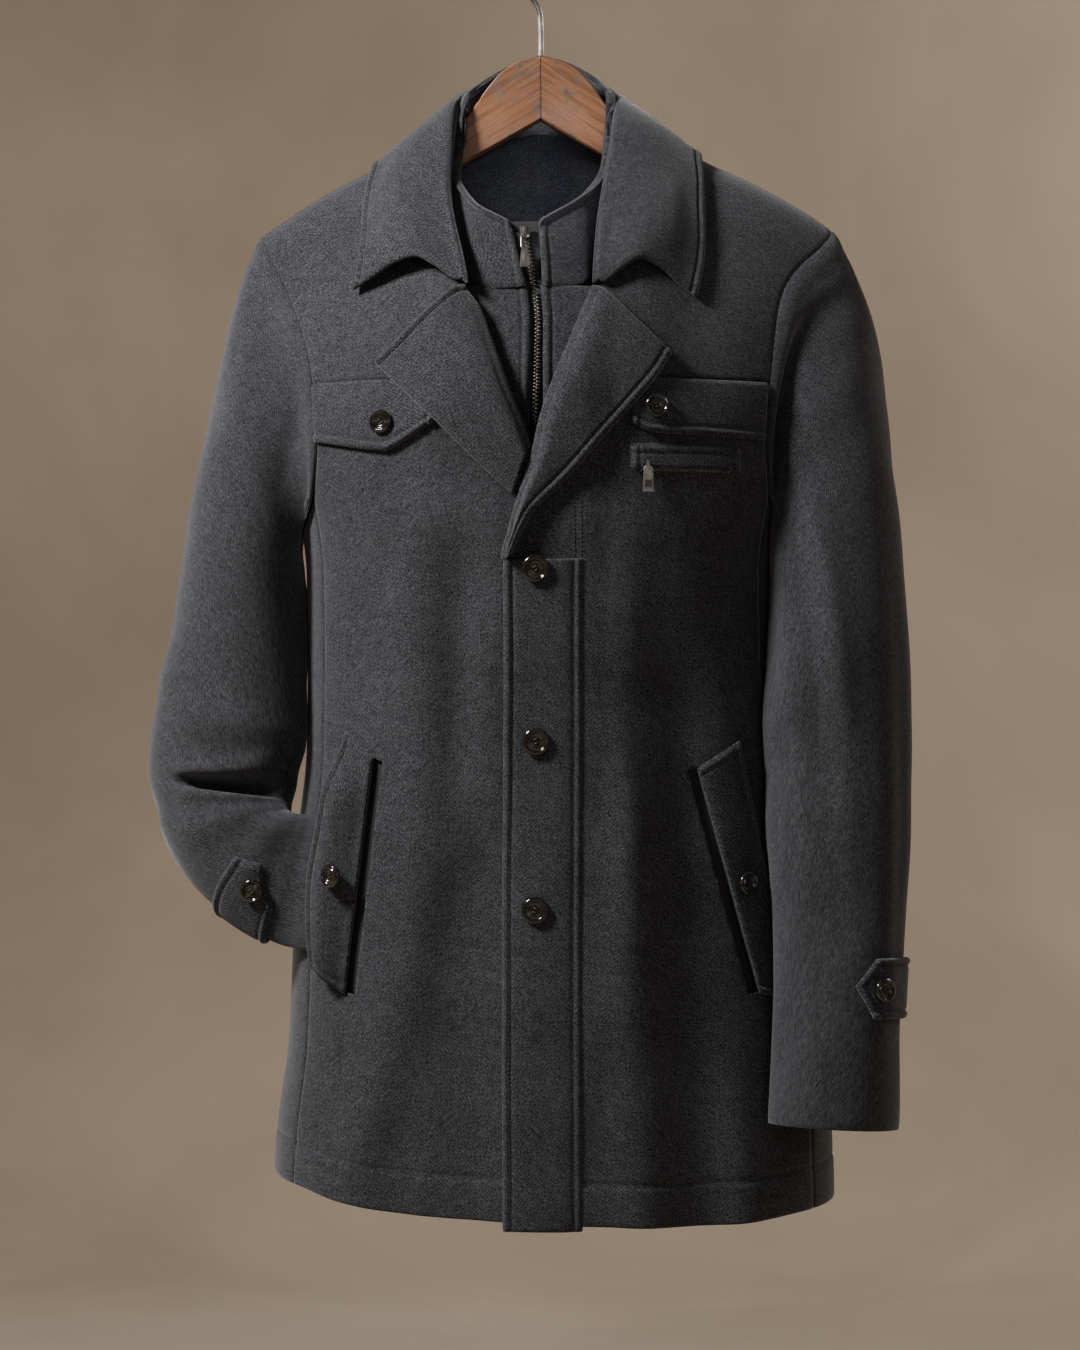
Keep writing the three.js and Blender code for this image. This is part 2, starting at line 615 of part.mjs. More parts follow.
// Pieces laid on the fronts: shape gives {x, z}, lift the height of the outer face
const laid = (side, shape, rows, columns, lift, thick) =>
  wall(
    faces(rows, columns, (u, v, into) => frontPoint(side, shape(u, v), lift(u, v) + into), thick),
  );
for (const side of ["right", "left"]) {
  const { inner, outer, lifted } = pockets[side];
  const shape = patch(
    line(inner[0], outer[0]),
    line(inner[inner.length - 1], outer[outer.length - 1]),
    edge(inner),
    edge(outer),
  );
  const lift = (u, v) => 3.5 + lifted * smooth(u / 0.7) * smooth((1 - v) / 0.3);
  piece(`hand_welt_${side}`, laid(side, shape, 12, 5, lift, doubled));
  const facing = (u, v) => {
    const points = pockets[side].slot;
    const at = (a, b, axis) => lerp(points[a][axis], points[b][axis], v);
    const left = V(at(3, 0, 0), 0, at(3, 0, 1));
    const right = V(at(2, 1, 0), 0, at(2, 1, 1));
    return left.lerp(right, lerp(-0.7, 1.7, u));
  };
  piece(`pocket_facing_${side}`, laid(side, facing, 8, 2, () => -cloth - 1.1, 1.2), "pocketCloth");
}

const flaps = {
  right: { inner: -80, outer: -177, low: [[-81, -389], [-117, -410], [-173.6, -401]] },
  left: { inner: 68, outer: 175, low: [[69, -389.5], [81, -396.5], [123, -398.5], [171, -400]] },
};
for (const side of ["right", "left"]) {
  const { inner, outer, low } = flaps[side];
  const top = yokeSeam - 1.2;
  const shape = patch(
    edge(low),
    line([inner, top], [outer, top]),
    line(low[0], [inner, top]),
    line(low[low.length - 1], [outer, top]),
  );
  piece(`chest_flap_${side}`, laid(side, shape, 4, 8, () => 3.4, doubled));
}

const placketShape = (u, v) => ({
  x: lerp(placket.right, placket.left, u),
  z: lerp(placket.bottom, placket.top, v),
});
piece("placket", wall(faces(16, 3, (u, v, into) => {
  const at = placketShape(u, v);
  return onFront(at.x, at.z, placket.lift + into);
}, doubled)));

const lapels = {
  right: {
    low: -408,
    high: -282,
    outer: [[-22, -444], [-57, -410], [-79, -388], [-113, -355], [-125, -342]],
  },
  left: {
    low: -492,
    high: -285,
    outer: [
      [-22, -488], [-8, -460], [14.4, -437], [45, -403], [75, -368.5], [87, -353], [96.7, -337],
    ],
  },
};
const lapelColumns = [
  { u: 0, share: 0, lift: 2 },
  { u: 0.2, share: 0.08, lift: 7 },
  { u: 0.4, share: 0.25, lift: 9.4 },
  { u: 0.6, share: 0.5, lift: 8.8 },
  { u: 0.8, share: 0.78, lift: 7.6 },
  { u: 1, share: 1, lift: 7.2 },
];
function lapel(side) {
  const { low, high, outer } = lapels[side];
  const way = wayOf[side];
  const fold = (v) => {
    const z = lerp(low, high, v);
    return { x: rollX(z, side) + (side === "right" ? -1.5 * (1 - v) : 0), z };
  };
  const shape = patch(line([0, 0], [0, 0]), line([0, 0], [0, 0]), fold, edge(outer));
  return faces(12, 5, (u, v, into) => {
    const at = shape(along(lapelColumns, "u", u, "share"), v);
    const over = u === 0 ? -2.8 * way : 0.4 * way;
    const place = { x: at.x + over, z: at.z };
    return frontPoint(side, place, along(lapelColumns, "u", u, "lift") + into);
  }, doubled);
}
for (const side of ["right", "left"]) piece(`lapel_${side}`, wall(lapel(side)));

// Collar
function collarSection(at) {
  const side = at < 0 ? "right" : "left";
  const way = wayOf[side];
  const get = (name) => along(collarRows[side], "at", abs(at), name);
  const roll = clearCoat(V(way * get("rollX"), get("rollY"), get("rollZ")), 5.4);
  const mid = V(way * get("midX"), get("midY"), get("midZ"));
  const rim = V(way * get("edgeX"), get("edgeY"), get("edgeZ"));
  const away = V(mid.x - roll.x, mid.y - roll.y, 0).normalize();
  const overArm = 13 + max(0, abs(roll.y) - 10) * 2;
  const drop = min(overArm, lerp(30, 5, smooth(abs(at) / 100)));
  const from = (out, down) => roll.clone().addScaledVector(away, out).add(V(0, 0, -down));
  const shoulder = clearCoat(from(4.5, 1.5), 5.6);
  const curve = new THREE.CatmullRomCurve3([roll, shoulder, mid, rim], false, "centripetal");
  const leaf = [0.25, 0.42, 0.62, 0.82, 1].map((t) => clearCoat(curve.getPointAt(t), 5));
  return [from(-6, drop), from(-5, drop / 2), from(-3.5, 4), roll, shoulder, ...leaf];
}
function collar() {
  const half = [10, 20, 30, 40, 48, 55, 60, 65, 70, 75, 80, 85, 89, 93, 97, 100];
  const stops = [...half.map((at) => -at).reverse(), 0, ...half];
  const sections = stops.map(collarSection);
  const grid = sections[0].map((_, i) => sections.map((section) => section[i]));
  return backed(grid, doubled);
}
piece("collar", wall(collar()));

function standCollar() {
  const grid = gridOf(3, 28, (u, v) => {
    const get = (name) => along(standRows, "at", u, name);
    const rim = V(get("rimX"), get("rimY"), get("rimZ"));
    const base = V(get("baseX"), get("baseY"), get("baseZ"));
    return base.lerp(rim, v);
  });
  return backed(grid, cloth);
}
piece("stand_collar", wall(standCollar()), "innerWool");

const zipX = (z, column) => along(zipRows, "z", z, column);
for (const side of ["right", "left"]) {
  const way = wayOf[side];
  const shape = (u, v) => {
    const z = lerp(-470, bibTop[side], v);
    const inner = zipX(z, "x") + way * zipX(z, "gap");
    return { x: lerp(inner, rollX(z, side) + way * 24, u), z };
  };
  const bib = faces(12, 5, (u, v, into) => {
    const at = shape(u, v);
    return onFront(at.x, at.z, -bibSet + into);
  });
  piece(`bib_${side}`, wall(bib), "innerWool");
}

// Zip: its tape follows the back of the bib and stand collar
const zipBend = -283;
function zipPoint(z, across, lift) {
  const x = zipX(z, "x") + across;
  if (z < zipBend) return onFront(x, z, -bibSet + lift);
  return V(x, lerp(-96.6, -78, (z - zipBend) / 53), z).addScaledVector(V(0, -0.93, -0.36), lift);
}
const zipStrip = (half, low, high, lift, thick) =>
  wall(
    faces(15, 2, (u, v, into) => {
      const z = v < 0.6 ? lerp(low, zipBend, v / 0.6) : lerp(zipBend, high, (v - 0.6) / 0.4);
      return zipPoint(z, lerp(-half(z), half(z), u), lift + into);
    }, thick),
  );
piece("zip_tape", zipStrip((z) => zipX(z, "gap") + 2, -466, -232, -cloth - 1.5, 1), "tape");
piece("zip_chain", zipStrip(() => 2.6, -466, -242, -0.9, 1.8), "zipMetal");

// Buttons stand on the cloth at a point, along its normal
function buttonAt(name, size, point, normal) {
  const radius = size / 2;
  const well = radius - button.rim;
  const profile = [
    [0, 0],
    [radius, 0],
    [radius, button.thick - 0.8],
    [radius - 0.8, button.thick],
    [well, button.thick],
    [well - 0.8, button.thick - button.dish],
    [0, button.thick - button.dish],
  ].map(([r, y]) => new THREE.Vector2(r, y));
  const geometry = new THREE.LatheGeometry(profile, 12);
  const turn = new THREE.Quaternion().setFromUnitVectors(V(0, 1, 0), normal);
  geometry.applyQuaternion(turn);
  geometry.translate(point.x, point.y, point.z);
  piece(name, geometry, "button");
}
function buttonOnFront(name, size, x, z, lift) {
  const low = onFront(x, z, lift);
  const normal = onFront(x, z, lift + 1).sub(low).normalize();
  buttonAt(name, size, low.addScaledVector(normal, seam + 0.2), normal);
}
buttonOnFront("button_front_1", button.large, -4.5, -500, placket.lift);
buttonOnFront("button_front_2", button.large, -3.8, -631.5, placket.lift);
buttonOnFront("button_front_3", button.large, -3.8, -760, placket.lift);
buttonOnFront("button_flap_right", button.small, -120.3, -389, 3.6);
buttonOnFront("button_flap_left", button.small, 86, -377.5, 3.6);
buttonOnFront("button_welt_right", button.small, -150.8, -736, 15.6);
buttonOnFront("button_welt_left", button.small, 157, -742, 4.2);

// Zipped chest pocket
const chestWelt = { right: 68.5, left: 152.3, low: -426.4, high: -406.6, lift: 3, slot: 5 };
const chestShape = (u, v) => ({
  x: lerp(chestWelt.right, chestWelt.left, u),
  z: lerp(chestWelt.low, chestWelt.high, v),
});
const chestMiddle = (chestWelt.low + chestWelt.high) / 2;
const chestSlot = [
  [74, chestMiddle + chestWelt.slot / 2],
  [147, chestMiddle + chestWelt.slot / 2],
  [147, chestMiddle - chestWelt.slot / 2],
  [74, chestMiddle - chestWelt.slot / 2],
];
const chestBand = laid("left", chestShape, 3, 8, () => chestWelt.lift, cloth);
piece("chest_welt", cut(chestBand, plate(chestSlot, 200, -200)));
const chestZipShape = (u, v) => ({ x: lerp(75.4, 145.4, u), z: lerp(-2, 2, v) + chestMiddle });
piece("chest_zip", laid("left", chestZipShape, 1, 8, () => 1.9, 1.4), "zipMetal");

// Sleeves
function sleeveFrame(rows, t) {
  const get = (column) => along(rows, "t", t, column);
  const outer = V(get("outX"), get("outY"), get("outZ"));
  const inner = V(get("inX"), get("inY"), get("inZ"));
  const centre = outer.clone().add(inner).multiplyScalar(0.5);
  const axis = outer.clone().sub(inner);
  return { centre, half: axis.length() / 2, axis: axis.normalize(), get };
}
function sleevePoint(sleeve, t, turn, lift) {
  const { rows, folds } = sleeve;
  const frame = sleeveFrame(rows, t);
  const ahead = sleeveFrame(rows, min(rows.length - 1, t + 0.3)).centre;
  const sweep = ahead.sub(sleeveFrame(rows, max(0, t - 0.3)).centre).normalize();
  const depthWay = sweep.cross(frame.axis).normalize();
  if (depthWay.y > 0) depthWay.negate();
  const c = cos(radians(turn));
  const s = sin(radians(turn));
  const bump = folds.reduce((sum, fold) => {
    const around = ((turn - fold.turn + 540) % 360) - 180;
    return sum + fold.depth * bell((t - fold.t) / fold.long) * bell(around / fold.wide);
  }, 0);
  const flat = frame.get("flat");
  const depth = frame.get(s > 0 ? "front" : "back") + lift + bump * abs(s);
  const half = frame.half + lift + bump * abs(c);
  const straight = sign(c) * abs(c) ** lerp(1, 0.5, flat);
  const across = (half - depth * flat) * straight + depth * flat * c;
  const p = frame.centre.clone().addScaledVector(frame.axis, across);
  return p.addScaledVector(depthWay, depth * s);
}
const sleeves = {
  right: {
    rows: bentSleeve,
    folds: bentFolds,
    count: 21,
    off: (z) => lerp(2.5, 1, smooth((-600 - z) / 60)),
  },
  left: {
    rows: straightSleeve,
    folds: straightFolds,
    count: 17,
    off: (z) => lerp(5, 5.4, smooth((-560 - z) / 60)),
  },
};

// The armhole's edge points, from the shoulder tip down the front and up the back, each with
// the way the cloth would run on
function armhole(side) {
  const { front, yoke, panel } = body[side];
  const back = body.back;
  const backColumn = side === "left" ? 0 : columnsOf.back;
  const inward = side === "left" ? 1 : columnsOf.back - 1;
  const stops = [];
  const add = (part, i, j, besideI, besideJ, under) => {
    const outer = part.outer[i][j];
    const inner = part.inner[i][j];
    const run = outer.clone().sub(part.outer[besideI][besideJ]).normalize();
    const normal = outer.clone().sub(inner).normalize();
    const on = outer.clone().addScaledVector(run, (seam + 0.3) * (1 - under));
    on.addScaledVector(normal, (seam + 1.5) * under).add(V(0, 0, -1.6 * under));
    const depth = normal.multiplyScalar(-cloth * (1 - under)).add(V(0, 0, cloth * under));
    stops.push({ outer: on, inner: on.clone().add(depth.setLength(cloth)) });
  };
  for (let i = 10; i >= 0; i -= 1) add(yoke, i, 10, i, 9, 0);
  for (let i = rowsOf.front - 1; i > rowsOf.frontCorner; i -= 1)
    add(front, i, columnsOf.front, i, columnsOf.front - 1, i === rowsOf.frontCorner + 1 ? 0.3 : 0);
  add(front, rowsOf.frontCorner, columnsOf.front, rowsOf.frontCorner, columnsOf.front - 1, 1);
  for (let j = 1; j <= 4; j += 1) add(panel, 14, j, 13, j, 1);
  add(back, rowsOf.backCorner, backColumn, rowsOf.backCorner, inward, 1);
  for (let i = rowsOf.backCorner + 1; i < rowsOf.back; i += 1)
    add(back, i, backColumn, i, inward, 0);
  return stops;
}
function sleeveWall(side) {
  const sleeve = sleeves[side];
  const stops = armhole(side);
  const bottom = 15.5; // stops at the underarm's centre
  const turns = stops.map((_, j) =>
    j <= bottom ? (180 * j) / bottom : 180 + (180 * (j - bottom)) / (stops.length - bottom),
  );
  const last = sleeve.rows.length - 1;
  const face = (lift, kept) =>
    Array.from({ length: sleeve.count + 1 }, (_, i) => {
      const t = (last * i) / sleeve.count;
      const pull = 1 - smooth(t / 3.2);
      return stops.map((stop, j) => {
        if (i === 0) return stop[kept].clone();
        const gap = stop[kept].clone().sub(sleevePoint(sleeve, 0, turns[j], lift));
        const p = sleevePoint(sleeve, t, turns[j], lift);
        return clearOf(p.addScaledVector(gap, pull), sleeve.off(p.z) - lift);
      });
    });
  return { outer: face(0, "outer"), inner: face(-cloth, "inner") };
}
for (const side of ["right", "left"]) piece(`sleeve_${side}`, wall(sleeveWall(side), true));

// Cuff tabs, drawn on the sleeve in turn (x) and t (z)
const tabs = {
  left: {
    low: [[-60, 10.95], [66, 10.93]],
    high: [[-60, 10.2], [66, 10.17]],
    point: [[66, 10.93], [84, 10.52], [66, 10.17]],
    button: [60, 10.58],
    lift: 4.6,
  },
  right: {
    low: [[-30, 12.25], [76, 12.2]],
    high: [[-30, 11.05], [90, 10.75]],
    point: [[76, 12.2], [92, 11.45], [90, 10.75]],
    button: [81, 11.55],
    lift: 4.2,
  },
};
for (const side of ["right", "left"]) {
  const { low, high, point, button: spot, lift } = tabs[side];
  const shape = patch(
    line(low[0], low[1]),
    line(high[0], high[1]),
    line(low[0], high[0]),
    (t) => (t < 0.5 ? line(point[0], point[1])(t * 2) : line(point[1], point[2])(t * 2 - 1)),
  );
  const on = (turn, t, over) => sleevePoint(sleeves[side], t, turn, lift + over);
  piece(
    `cuff_tab_${side}`,
    wall(faces(4, 9, (u, v, into) => {
      const at = shape(u, v);
      return on(at.x, at.z, into);
    }, doubled)),
  );
  const foot = on(spot[0], spot[1], 0);
  const out = on(spot[0], spot[1], 1).sub(foot);
  const around = on(spot[0] + 2, spot[1], 0).sub(foot);
  const down = on(spot[0], spot[1] + 0.05, 0).sub(foot);
  const normal = around.cross(down).normalize();
  if (normal.dot(out) < 0) normal.negate();
  foot.addScaledVector(normal, seam + 0.5);
  buttonAt(`button_cuff_${side}`, button.small, foot, normal);
}

// Zip slider and pulls
const sliderSpot = V(-12.4, -81.3, -240);
piece(
  "zip_slider",
  plate([[-4.2, 5], [4.2, 5], [3.2, -5], [-3.2, -5]], 4.4, -4.4)
    .rotateX(-0.38)
    .translate(sliderSpot.x, sliderSpot.y, sliderSpot.z),
  "zipMetal",
);
const pullOutline = [
  [-1.4, 0], [1.4, 0], [1.4, -14], [3.2, -16], [4, -30], [-4, -30], [-3.2, -16], [-1.4, -14],
];
piece(
  "zip_pull",
  plate(pullOutline, 1.5, -1.5).rotateX(-0.38).translate(-12.4, -86.6, -241),
  "zipMetal",
);
const pocketPull = [[-2, 0], [2, 0], [4.6, -8], [4.6, -25], [-4.6, -25], [-4.6, -8]];
const pocketWindow = [[-2.2, -17], [-2.2, -22], [2.2, -22], [2.2, -17]];
const pullTop = onFront(80.5, chestMiddle - 1, chestWelt.lift + 0.6);
piece(
  "pocket_pull",
  plate(pocketPull, 1.4, -1.4, pocketWindow).translate(pullTop.x, pullTop.y, pullTop.z),
  "zipMetal",
);

// Hanger
const armTop = [
  [0, -88], [18, -91.5], [33, -101.5], [42, -112], [60, -137], [75, -155], [100, -172],
  [130, -191], [170, -210], [194, -224],
];
const armBottom = [
  [200, -232], [196, -243], [170, -233], [130, -211], [85, -186.5], [40, -161], [0, -138.4],
];
const halfArm = [...armTop, ...armBottom];
const mirrored = halfArm.slice(1, -1).map(([x, z]) => [-x, z]).reverse();
const woodShape = new THREE.Shape(
  [...halfArm, ...mirrored].map(([x, z]) => new THREE.Vector2(x, z)),
);
const wood = new THREE.ExtrudeGeometry(woodShape, {
  depth: hangerWood.thick - 2 * hangerWood.bevel,
  bevelSize: hangerWood.bevel,
  bevelThickness: hangerWood.bevel,
  bevelOffset: -hangerWood.bevel,
  bevelSegments: 2,
})
  .translate(0, 0, hangerWood.bevel - hangerWood.thick / 2)
  .rotateX(PI / 2);
piece("hanger_wood", wood, "wood");

const hookLine = [
  [0, -87.6], [0, -64], [-1.5, -50], [-8, -39.5], [-17, -30.5], [-20.5, -18.5], [-17, -6],
  [-8.5, 0.7], [0.5, 2.1], [11, -0.8], [18.5, -9], [20.5, -19], [17.5, -29],
];
const hookCurve = new THREE.CatmullRomCurve3(hookLine.map(([x, z]) => V(x, 0, z)));
const hookRound = new THREE.Shape().absarc(0, 0, hookWire / 2, 0, 2 * PI);
const hook = new THREE.ExtrudeGeometry(hookRound, {
  steps: 26,
  curveSegments: 4,
  extrudePath: hookCurve,
  bevelEnabled: false,
});
piece("hanger_hook", hook, "steel");

export default coat;
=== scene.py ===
import math

import bmesh
import bpy
import numpy as np
from mathutils import Matrix, Vector


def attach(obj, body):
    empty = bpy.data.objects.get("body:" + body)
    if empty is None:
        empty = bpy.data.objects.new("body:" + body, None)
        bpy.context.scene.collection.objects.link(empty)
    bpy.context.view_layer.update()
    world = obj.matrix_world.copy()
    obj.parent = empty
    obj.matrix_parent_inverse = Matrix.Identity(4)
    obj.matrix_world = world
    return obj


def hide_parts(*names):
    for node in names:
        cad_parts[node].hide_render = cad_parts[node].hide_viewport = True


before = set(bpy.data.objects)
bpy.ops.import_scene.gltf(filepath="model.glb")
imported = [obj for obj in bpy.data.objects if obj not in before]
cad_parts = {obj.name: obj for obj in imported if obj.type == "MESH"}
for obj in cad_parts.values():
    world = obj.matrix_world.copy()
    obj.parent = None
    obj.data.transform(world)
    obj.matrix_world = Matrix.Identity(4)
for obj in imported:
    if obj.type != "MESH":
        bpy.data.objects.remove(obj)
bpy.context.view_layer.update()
print("frame loaded:", len(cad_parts), "nodes")

# sizes, in millimetres, as in the coat's own source
cloth = 2.5
doubled = 3
seam = 0.3
squareness = 2.3
seamTurn = 64
seamSlack = -0.25  # the side panels reach a little under their neighbours
underarm = {"corner": -447, "low": -470}
yokeSeam = -355
neckX = 75
shoulderTip = {"right": 222, "left": 232}
chestRun = 250
bladeRun = 210
shoulderRoll = {"depth": 12, "run": 9}
overlap = {"lift": 4, "from": 30, "to": 58}
bibSet = 9
bibTop = {"right": -278.5, "left": -279.3}
placket = {"left": 31, "right": -27.5, "top": -494, "bottom": -1003, "lift": 7.4}
button = {"large": 21, "small": 18.5, "thick": 3.6}
hemDeep = 32
stitchInset = 6.2
cornerShare = {"front": 14 / 17, "back": 11 / 20}  # how far up a panel the armhole's lower corner is
wayOf = {"right": -1, "left": 1}
sides = ("right", "left")


def table(columns, rows):
    data = np.array(rows, float)
    return {name: data[:, i] for i, name in enumerate(columns.split())}


bodyRows = table("z right left front back", [
    [-1010, 214, 234, 122, 96], [-940, 210, 232, 122, 94], [-870, 201, 222, 122, 90],
    [-800, 198, 210, 122, 87], [-720, 195, 200, 122, 83], [-640, 187, 193, 121, 81],
    [-560, 186, 188, 123, 86], [-500, 187, 187, 126, 92], [-460, 192, 192, 128, 97],
    [-420, 204, 205, 128, 100], [-370, 218, 221, 127, 101], [-300, 228, 235, 126, 100],
    [-230, 232, 242, 124, 98],
])
hemRows = table("turn z", [
    [-180, -985], [-90, -974], [-60, -979], [-45, -987], [-30, -993], [0, -999],
    [30, -1003], [60, -998], [90, -994], [180, -985],
])
shoulderRows = table("x right left", [
    [0, -112, -112], [75, -135, -132], [100, -154, -150], [130, -175.5, -170.5],
    [170, -196.5, -189], [213, -224.5, -213], [222, -230.5, -219], [232, -238, -226],
])
armholeRows = table("z right left back", [
    [-447, 0, 0, 0], [-400, -4, -4, -3], [-360, 0, -1.5, 1], [-338, 3, 1, 5],
    [-312, 10, 4.5, 11], [-285, 20, 10, 20], [-263, 29, 20, 30], [-245, 37, 36, 40],
    [-226, 44, 54, 50],
])
rollRows = table("z right left", [
    [-1010, 25, -27], [-490, 25, -27], [-472, 14, -22.5], [-450, 5, -16.5],
    [-414, -6.5, -5], [-388, -16, 1], [-360, -27, 10.5], [-330, -38, 23],
    [-301, -49, 35], [-284, -60, 42], [-250, -66, 56], [-200, -73, 68], [-145, -75, 75],
])
# across is from the centre, depth out of the body; the narrow ones are the cloth's smaller dents
frontFolds = table("across low high wide depth slant", [
    [-62, -720, -430, 17, -5, 0.03], [-98, -930, -420, 24, 4, -0.02],
    [-88, -1010, -700, 26, -6, 0.16], [-128, -1000, -780, 20, 4, 0.2],
    [62, -900, -430, 20, 4, 0.02], [112, -1010, -500, 26, -6, -0.04],
    [152, -1010, -840, 18, 4, -0.08], [118, -350, -240, 16, -3, 0.1],
    [-150, -350, -235, 14, -3, -0.1],
    [-112, -560, -400, 9, -1.6, 0.25], [-46, -640, -520, 8, 1.1, -0.2],
    [-74, -1010, -860, 9, -1.3, 0.1], [78, -760, -560, 10, -1.4, -0.15],
    [58, -1010, -820, 10, 1.2, 0.1], [132, -760, -600, 9, 1.3, -0.2],
    [96, -330, -262, 8, 1.2, 0.5], [-118, -330, -250, 9, 1.2, -0.4],
    [160, -330, -230, 10, -1.6, -0.3],
    [-50, -1010, -640, 30, -7.5, 0.03], [74, -1010, -600, 24, 6.5, 0],
])
backFolds = table("across low high wide depth slant", [
    [-110, -1010, -520, 30, 6, 0.04], [-52, -1010, -640, 26, -5, 0.02],
    [44, -1010, -600, 30, 5, -0.03], [108, -1010, -560, 26, -6, -0.04],
    [0, -420, -240, 40, -2, 0], [-150, -700, -430, 14, -2, 0.2],
    [150, -700, -430, 14, -2, -0.2], [84, -820, -700, 10, 1.3, 0.2],
    [-84, -860, -720, 10, 1.4, -0.2],
])
bentSleeve = table("t outX outY outZ inX inY inZ front back flat", [
    [0, -222, 0, -230, -192, 0, -470, 84, 72, 0],
    [1, -238, 0, -264, -193, -3, -476, 78, 68, 0],
    [2, -249, 1, -303, -191, -8, -486, 70, 64, 0],
    [3, -259, 2, -350, -188, -14, -503, 62, 60, 0],
    [4, -270, 3, -410, -185, -22, -530, 57, 57, 0],
    [5, -281, 6, -472, -183, -26, -565, 54, 55, 0],
    [6, -292, 9, -538, -183, -32, -602, 52, 52, 0],
    [7, -304, 11, -600, -188, -37, -635, 48, 47, 0],
    [8, -311, 8, -652, -194, -40, -664, 42, 42, 0.1],
    [9, -303, -3, -698, -199, -45, -681, 35, 36, 0.2],
    [10, -280, -18, -740, -199, -53, -687, 27, 27, 0.4],
    [11, -250, -34, -768, -194, -61, -689, 19, 17, 0.7],
    [12, -220, -47, -786, -184, -67, -690, 8.5, 6.5, 0.9],
    [13, -198, -54, -794, -176, -72, -691, 4.6, 4, 1],
    [14, -181, -64, -796, -165, -79, -692, 4.2, 3.6, 1],
])
straightSleeve = table("t outX outY outZ inX inY inZ front back flat", [
    [0, 232, 0, -226, 192, 0, -470, 84, 72, 0],
    [1, 251, -3, -262, 194, -6, -476, 78, 70, 0],
    [2, 263, -9, -303, 191, -15, -487, 70, 66, 0],
    [3, 270, -18, -352, 186, -27, -505, 62, 62, 0],
    [4, 277, -32, -412, 180, -42, -535, 56, 58, 0],
    [5, 283, -44, -475, 175, -54, -570, 52, 55, 0],
    [6, 287, -54, -542, 172, -63, -610, 50, 52, 0],
    [7, 289, -61, -608, 172, -70, -650, 48, 50, 0],
    [8, 288, -67, -670, 174, -76, -695, 46, 48, 0],
    [9, 285, -72, -732, 178, -82, -745, 45, 46, 0],
    [10, 280, -77, -790, 180, -87, -796, 44, 44, 0],
    [11, 276, -82, -850, 179, -92, -850, 43, 43, 0],
    [12, 274, -86, -931, 174, -98, -925, 42, 42, 0],
])
collarRows = {
    "right": table("at rollX rollY rollZ midX midY midZ edgeX edgeY edgeZ", [
        [0, 0, 60, -91, 0, 76, -122, 0, 84, -160],
        [20, 34, 54, -96, 46, 70, -124, 58, 80, -160],
        [40, 61, 33, -108, 84, 46, -131, 104, 58, -168],
        [55, 70, 3, -121, 103, 10, -146, 130, 22, -178],
        [60, 72, -11, -131, 106, -2, -149, 134, 0, -171],
        [65, 73, -20, -150, 108, -14, -158, 137, -10, -186],
        [75, 75, -46, -190, 112, -44, -190, 141, -36, -210],
        [85, 71, -72, -224, 110, -68, -220, 142, -50, -238],
        [93, 64.5, -92, -252, 106, -82, -242, 144, -62, -262],
        [100, 60, -106, -276, 98, -92, -258, 147, -70, -281],
    ]),
    "left": table("at rollX rollY rollZ midX midY midZ edgeX edgeY edgeZ", [
        [0, 0, 60, -91, 0, 76, -122, 0, 84, -160],
        [20, 31, 55, -94, 44, 70, -123, 56, 80, -160],
        [40, 54, 34, -105, 80, 46, -126, 100, 58, -164],
        [55, 62, 4, -119, 97, 12, -138, 124, 20, -170],
        [60, 61, -11, -131, 100, -2, -143, 127, 0, -162],
        [65, 58.5, -20, -151, 102, -14, -154, 129, -8, -182],
        [75, 52.5, -46, -190, 100, -44, -188, 129, -34, -206],
        [85, 48, -72, -222, 95, -70, -218, 129, -52, -236],
        [93, 45.5, -91, -250, 88, -86, -240, 127, -66, -262],
        [100, 43.5, -105, -278, 78, -97, -261, 121, -80, -289],
    ]),
}
standRows = table("at rimX rimY rimZ baseX baseY baseZ", [
    [0, -24, -77, -231, -12, -98, -283],
    [0.1, -50, -60, -212, -50, -88, -277],
    [0.19, -62, -30, -180, -65, -48, -232],
    [0.25, -60, -14, -150, -63, -17, -178],
    [0.29, -58, -9, -126, -60, -11.5, -137],
    [0.33, -57, 0, -117, -58.5, 0, -127],
    [0.37, -55, 10, -112, -57, 11, -132],
    [0.42, -46, 28, -101, -49, 18, -157],
    [0.5, 0, 50, -77, 0, 36, -142],
    [0.58, 42, 29, -97, 46, 18, -155],
    [0.63, 50, 10, -110, 53, 11, -130],
    [0.67, 52.5, 0, -115, 55, 0, -125],
    [0.71, 52, -9, -125, 54.5, -11.5, -135],
    [0.75, 50, -14, -150, 53, -17, -176],
    [0.81, 46, -30, -180, 50, -48, -228],
    [0.9, 33, -62, -206, 33, -89, -276],
    [1, -1, -79, -230, 1.5, -98, -283],
])
zipRows = table("z x gap", [
    [-470, -3.8, 6], [-401, -3.8, 6], [-310, -3, 6], [-283, -5.3, 6.5],
    [-255, -9, 9], [-229, -12.5, 12],
])


# curves and soft forms
def along(rows, by, at, column):
    xs, ys = rows[by], rows[column]
    at = np.clip(np.asarray(at, float), xs[0], xs[-1])
    i = np.clip(np.searchsorted(xs, at, side="right") - 1, 0, len(xs) - 2)
    slopes = np.diff(ys) / np.diff(xs)
    product = slopes[:-1] * slopes[1:]
    total = np.where(product > 0, slopes[:-1] + slopes[1:], 1)
    lean = np.concatenate([slopes[:1], np.where(product > 0, 2 * product / total, 0), slopes[-1:]])
    span = xs[i + 1] - xs[i]
    t = (at - xs[i]) / span
    t2, t3 = t * t, t * t * t
    swing = span * (lean[i] * (t3 - 2 * t2 + t) + lean[i + 1] * (t3 - t2))
    return ys[i] * (2 * t3 - 3 * t2 + 1) + ys[i + 1] * (3 * t2 - 2 * t3) + swing


def lerp(a, b, t):
    return a + (b - a) * t


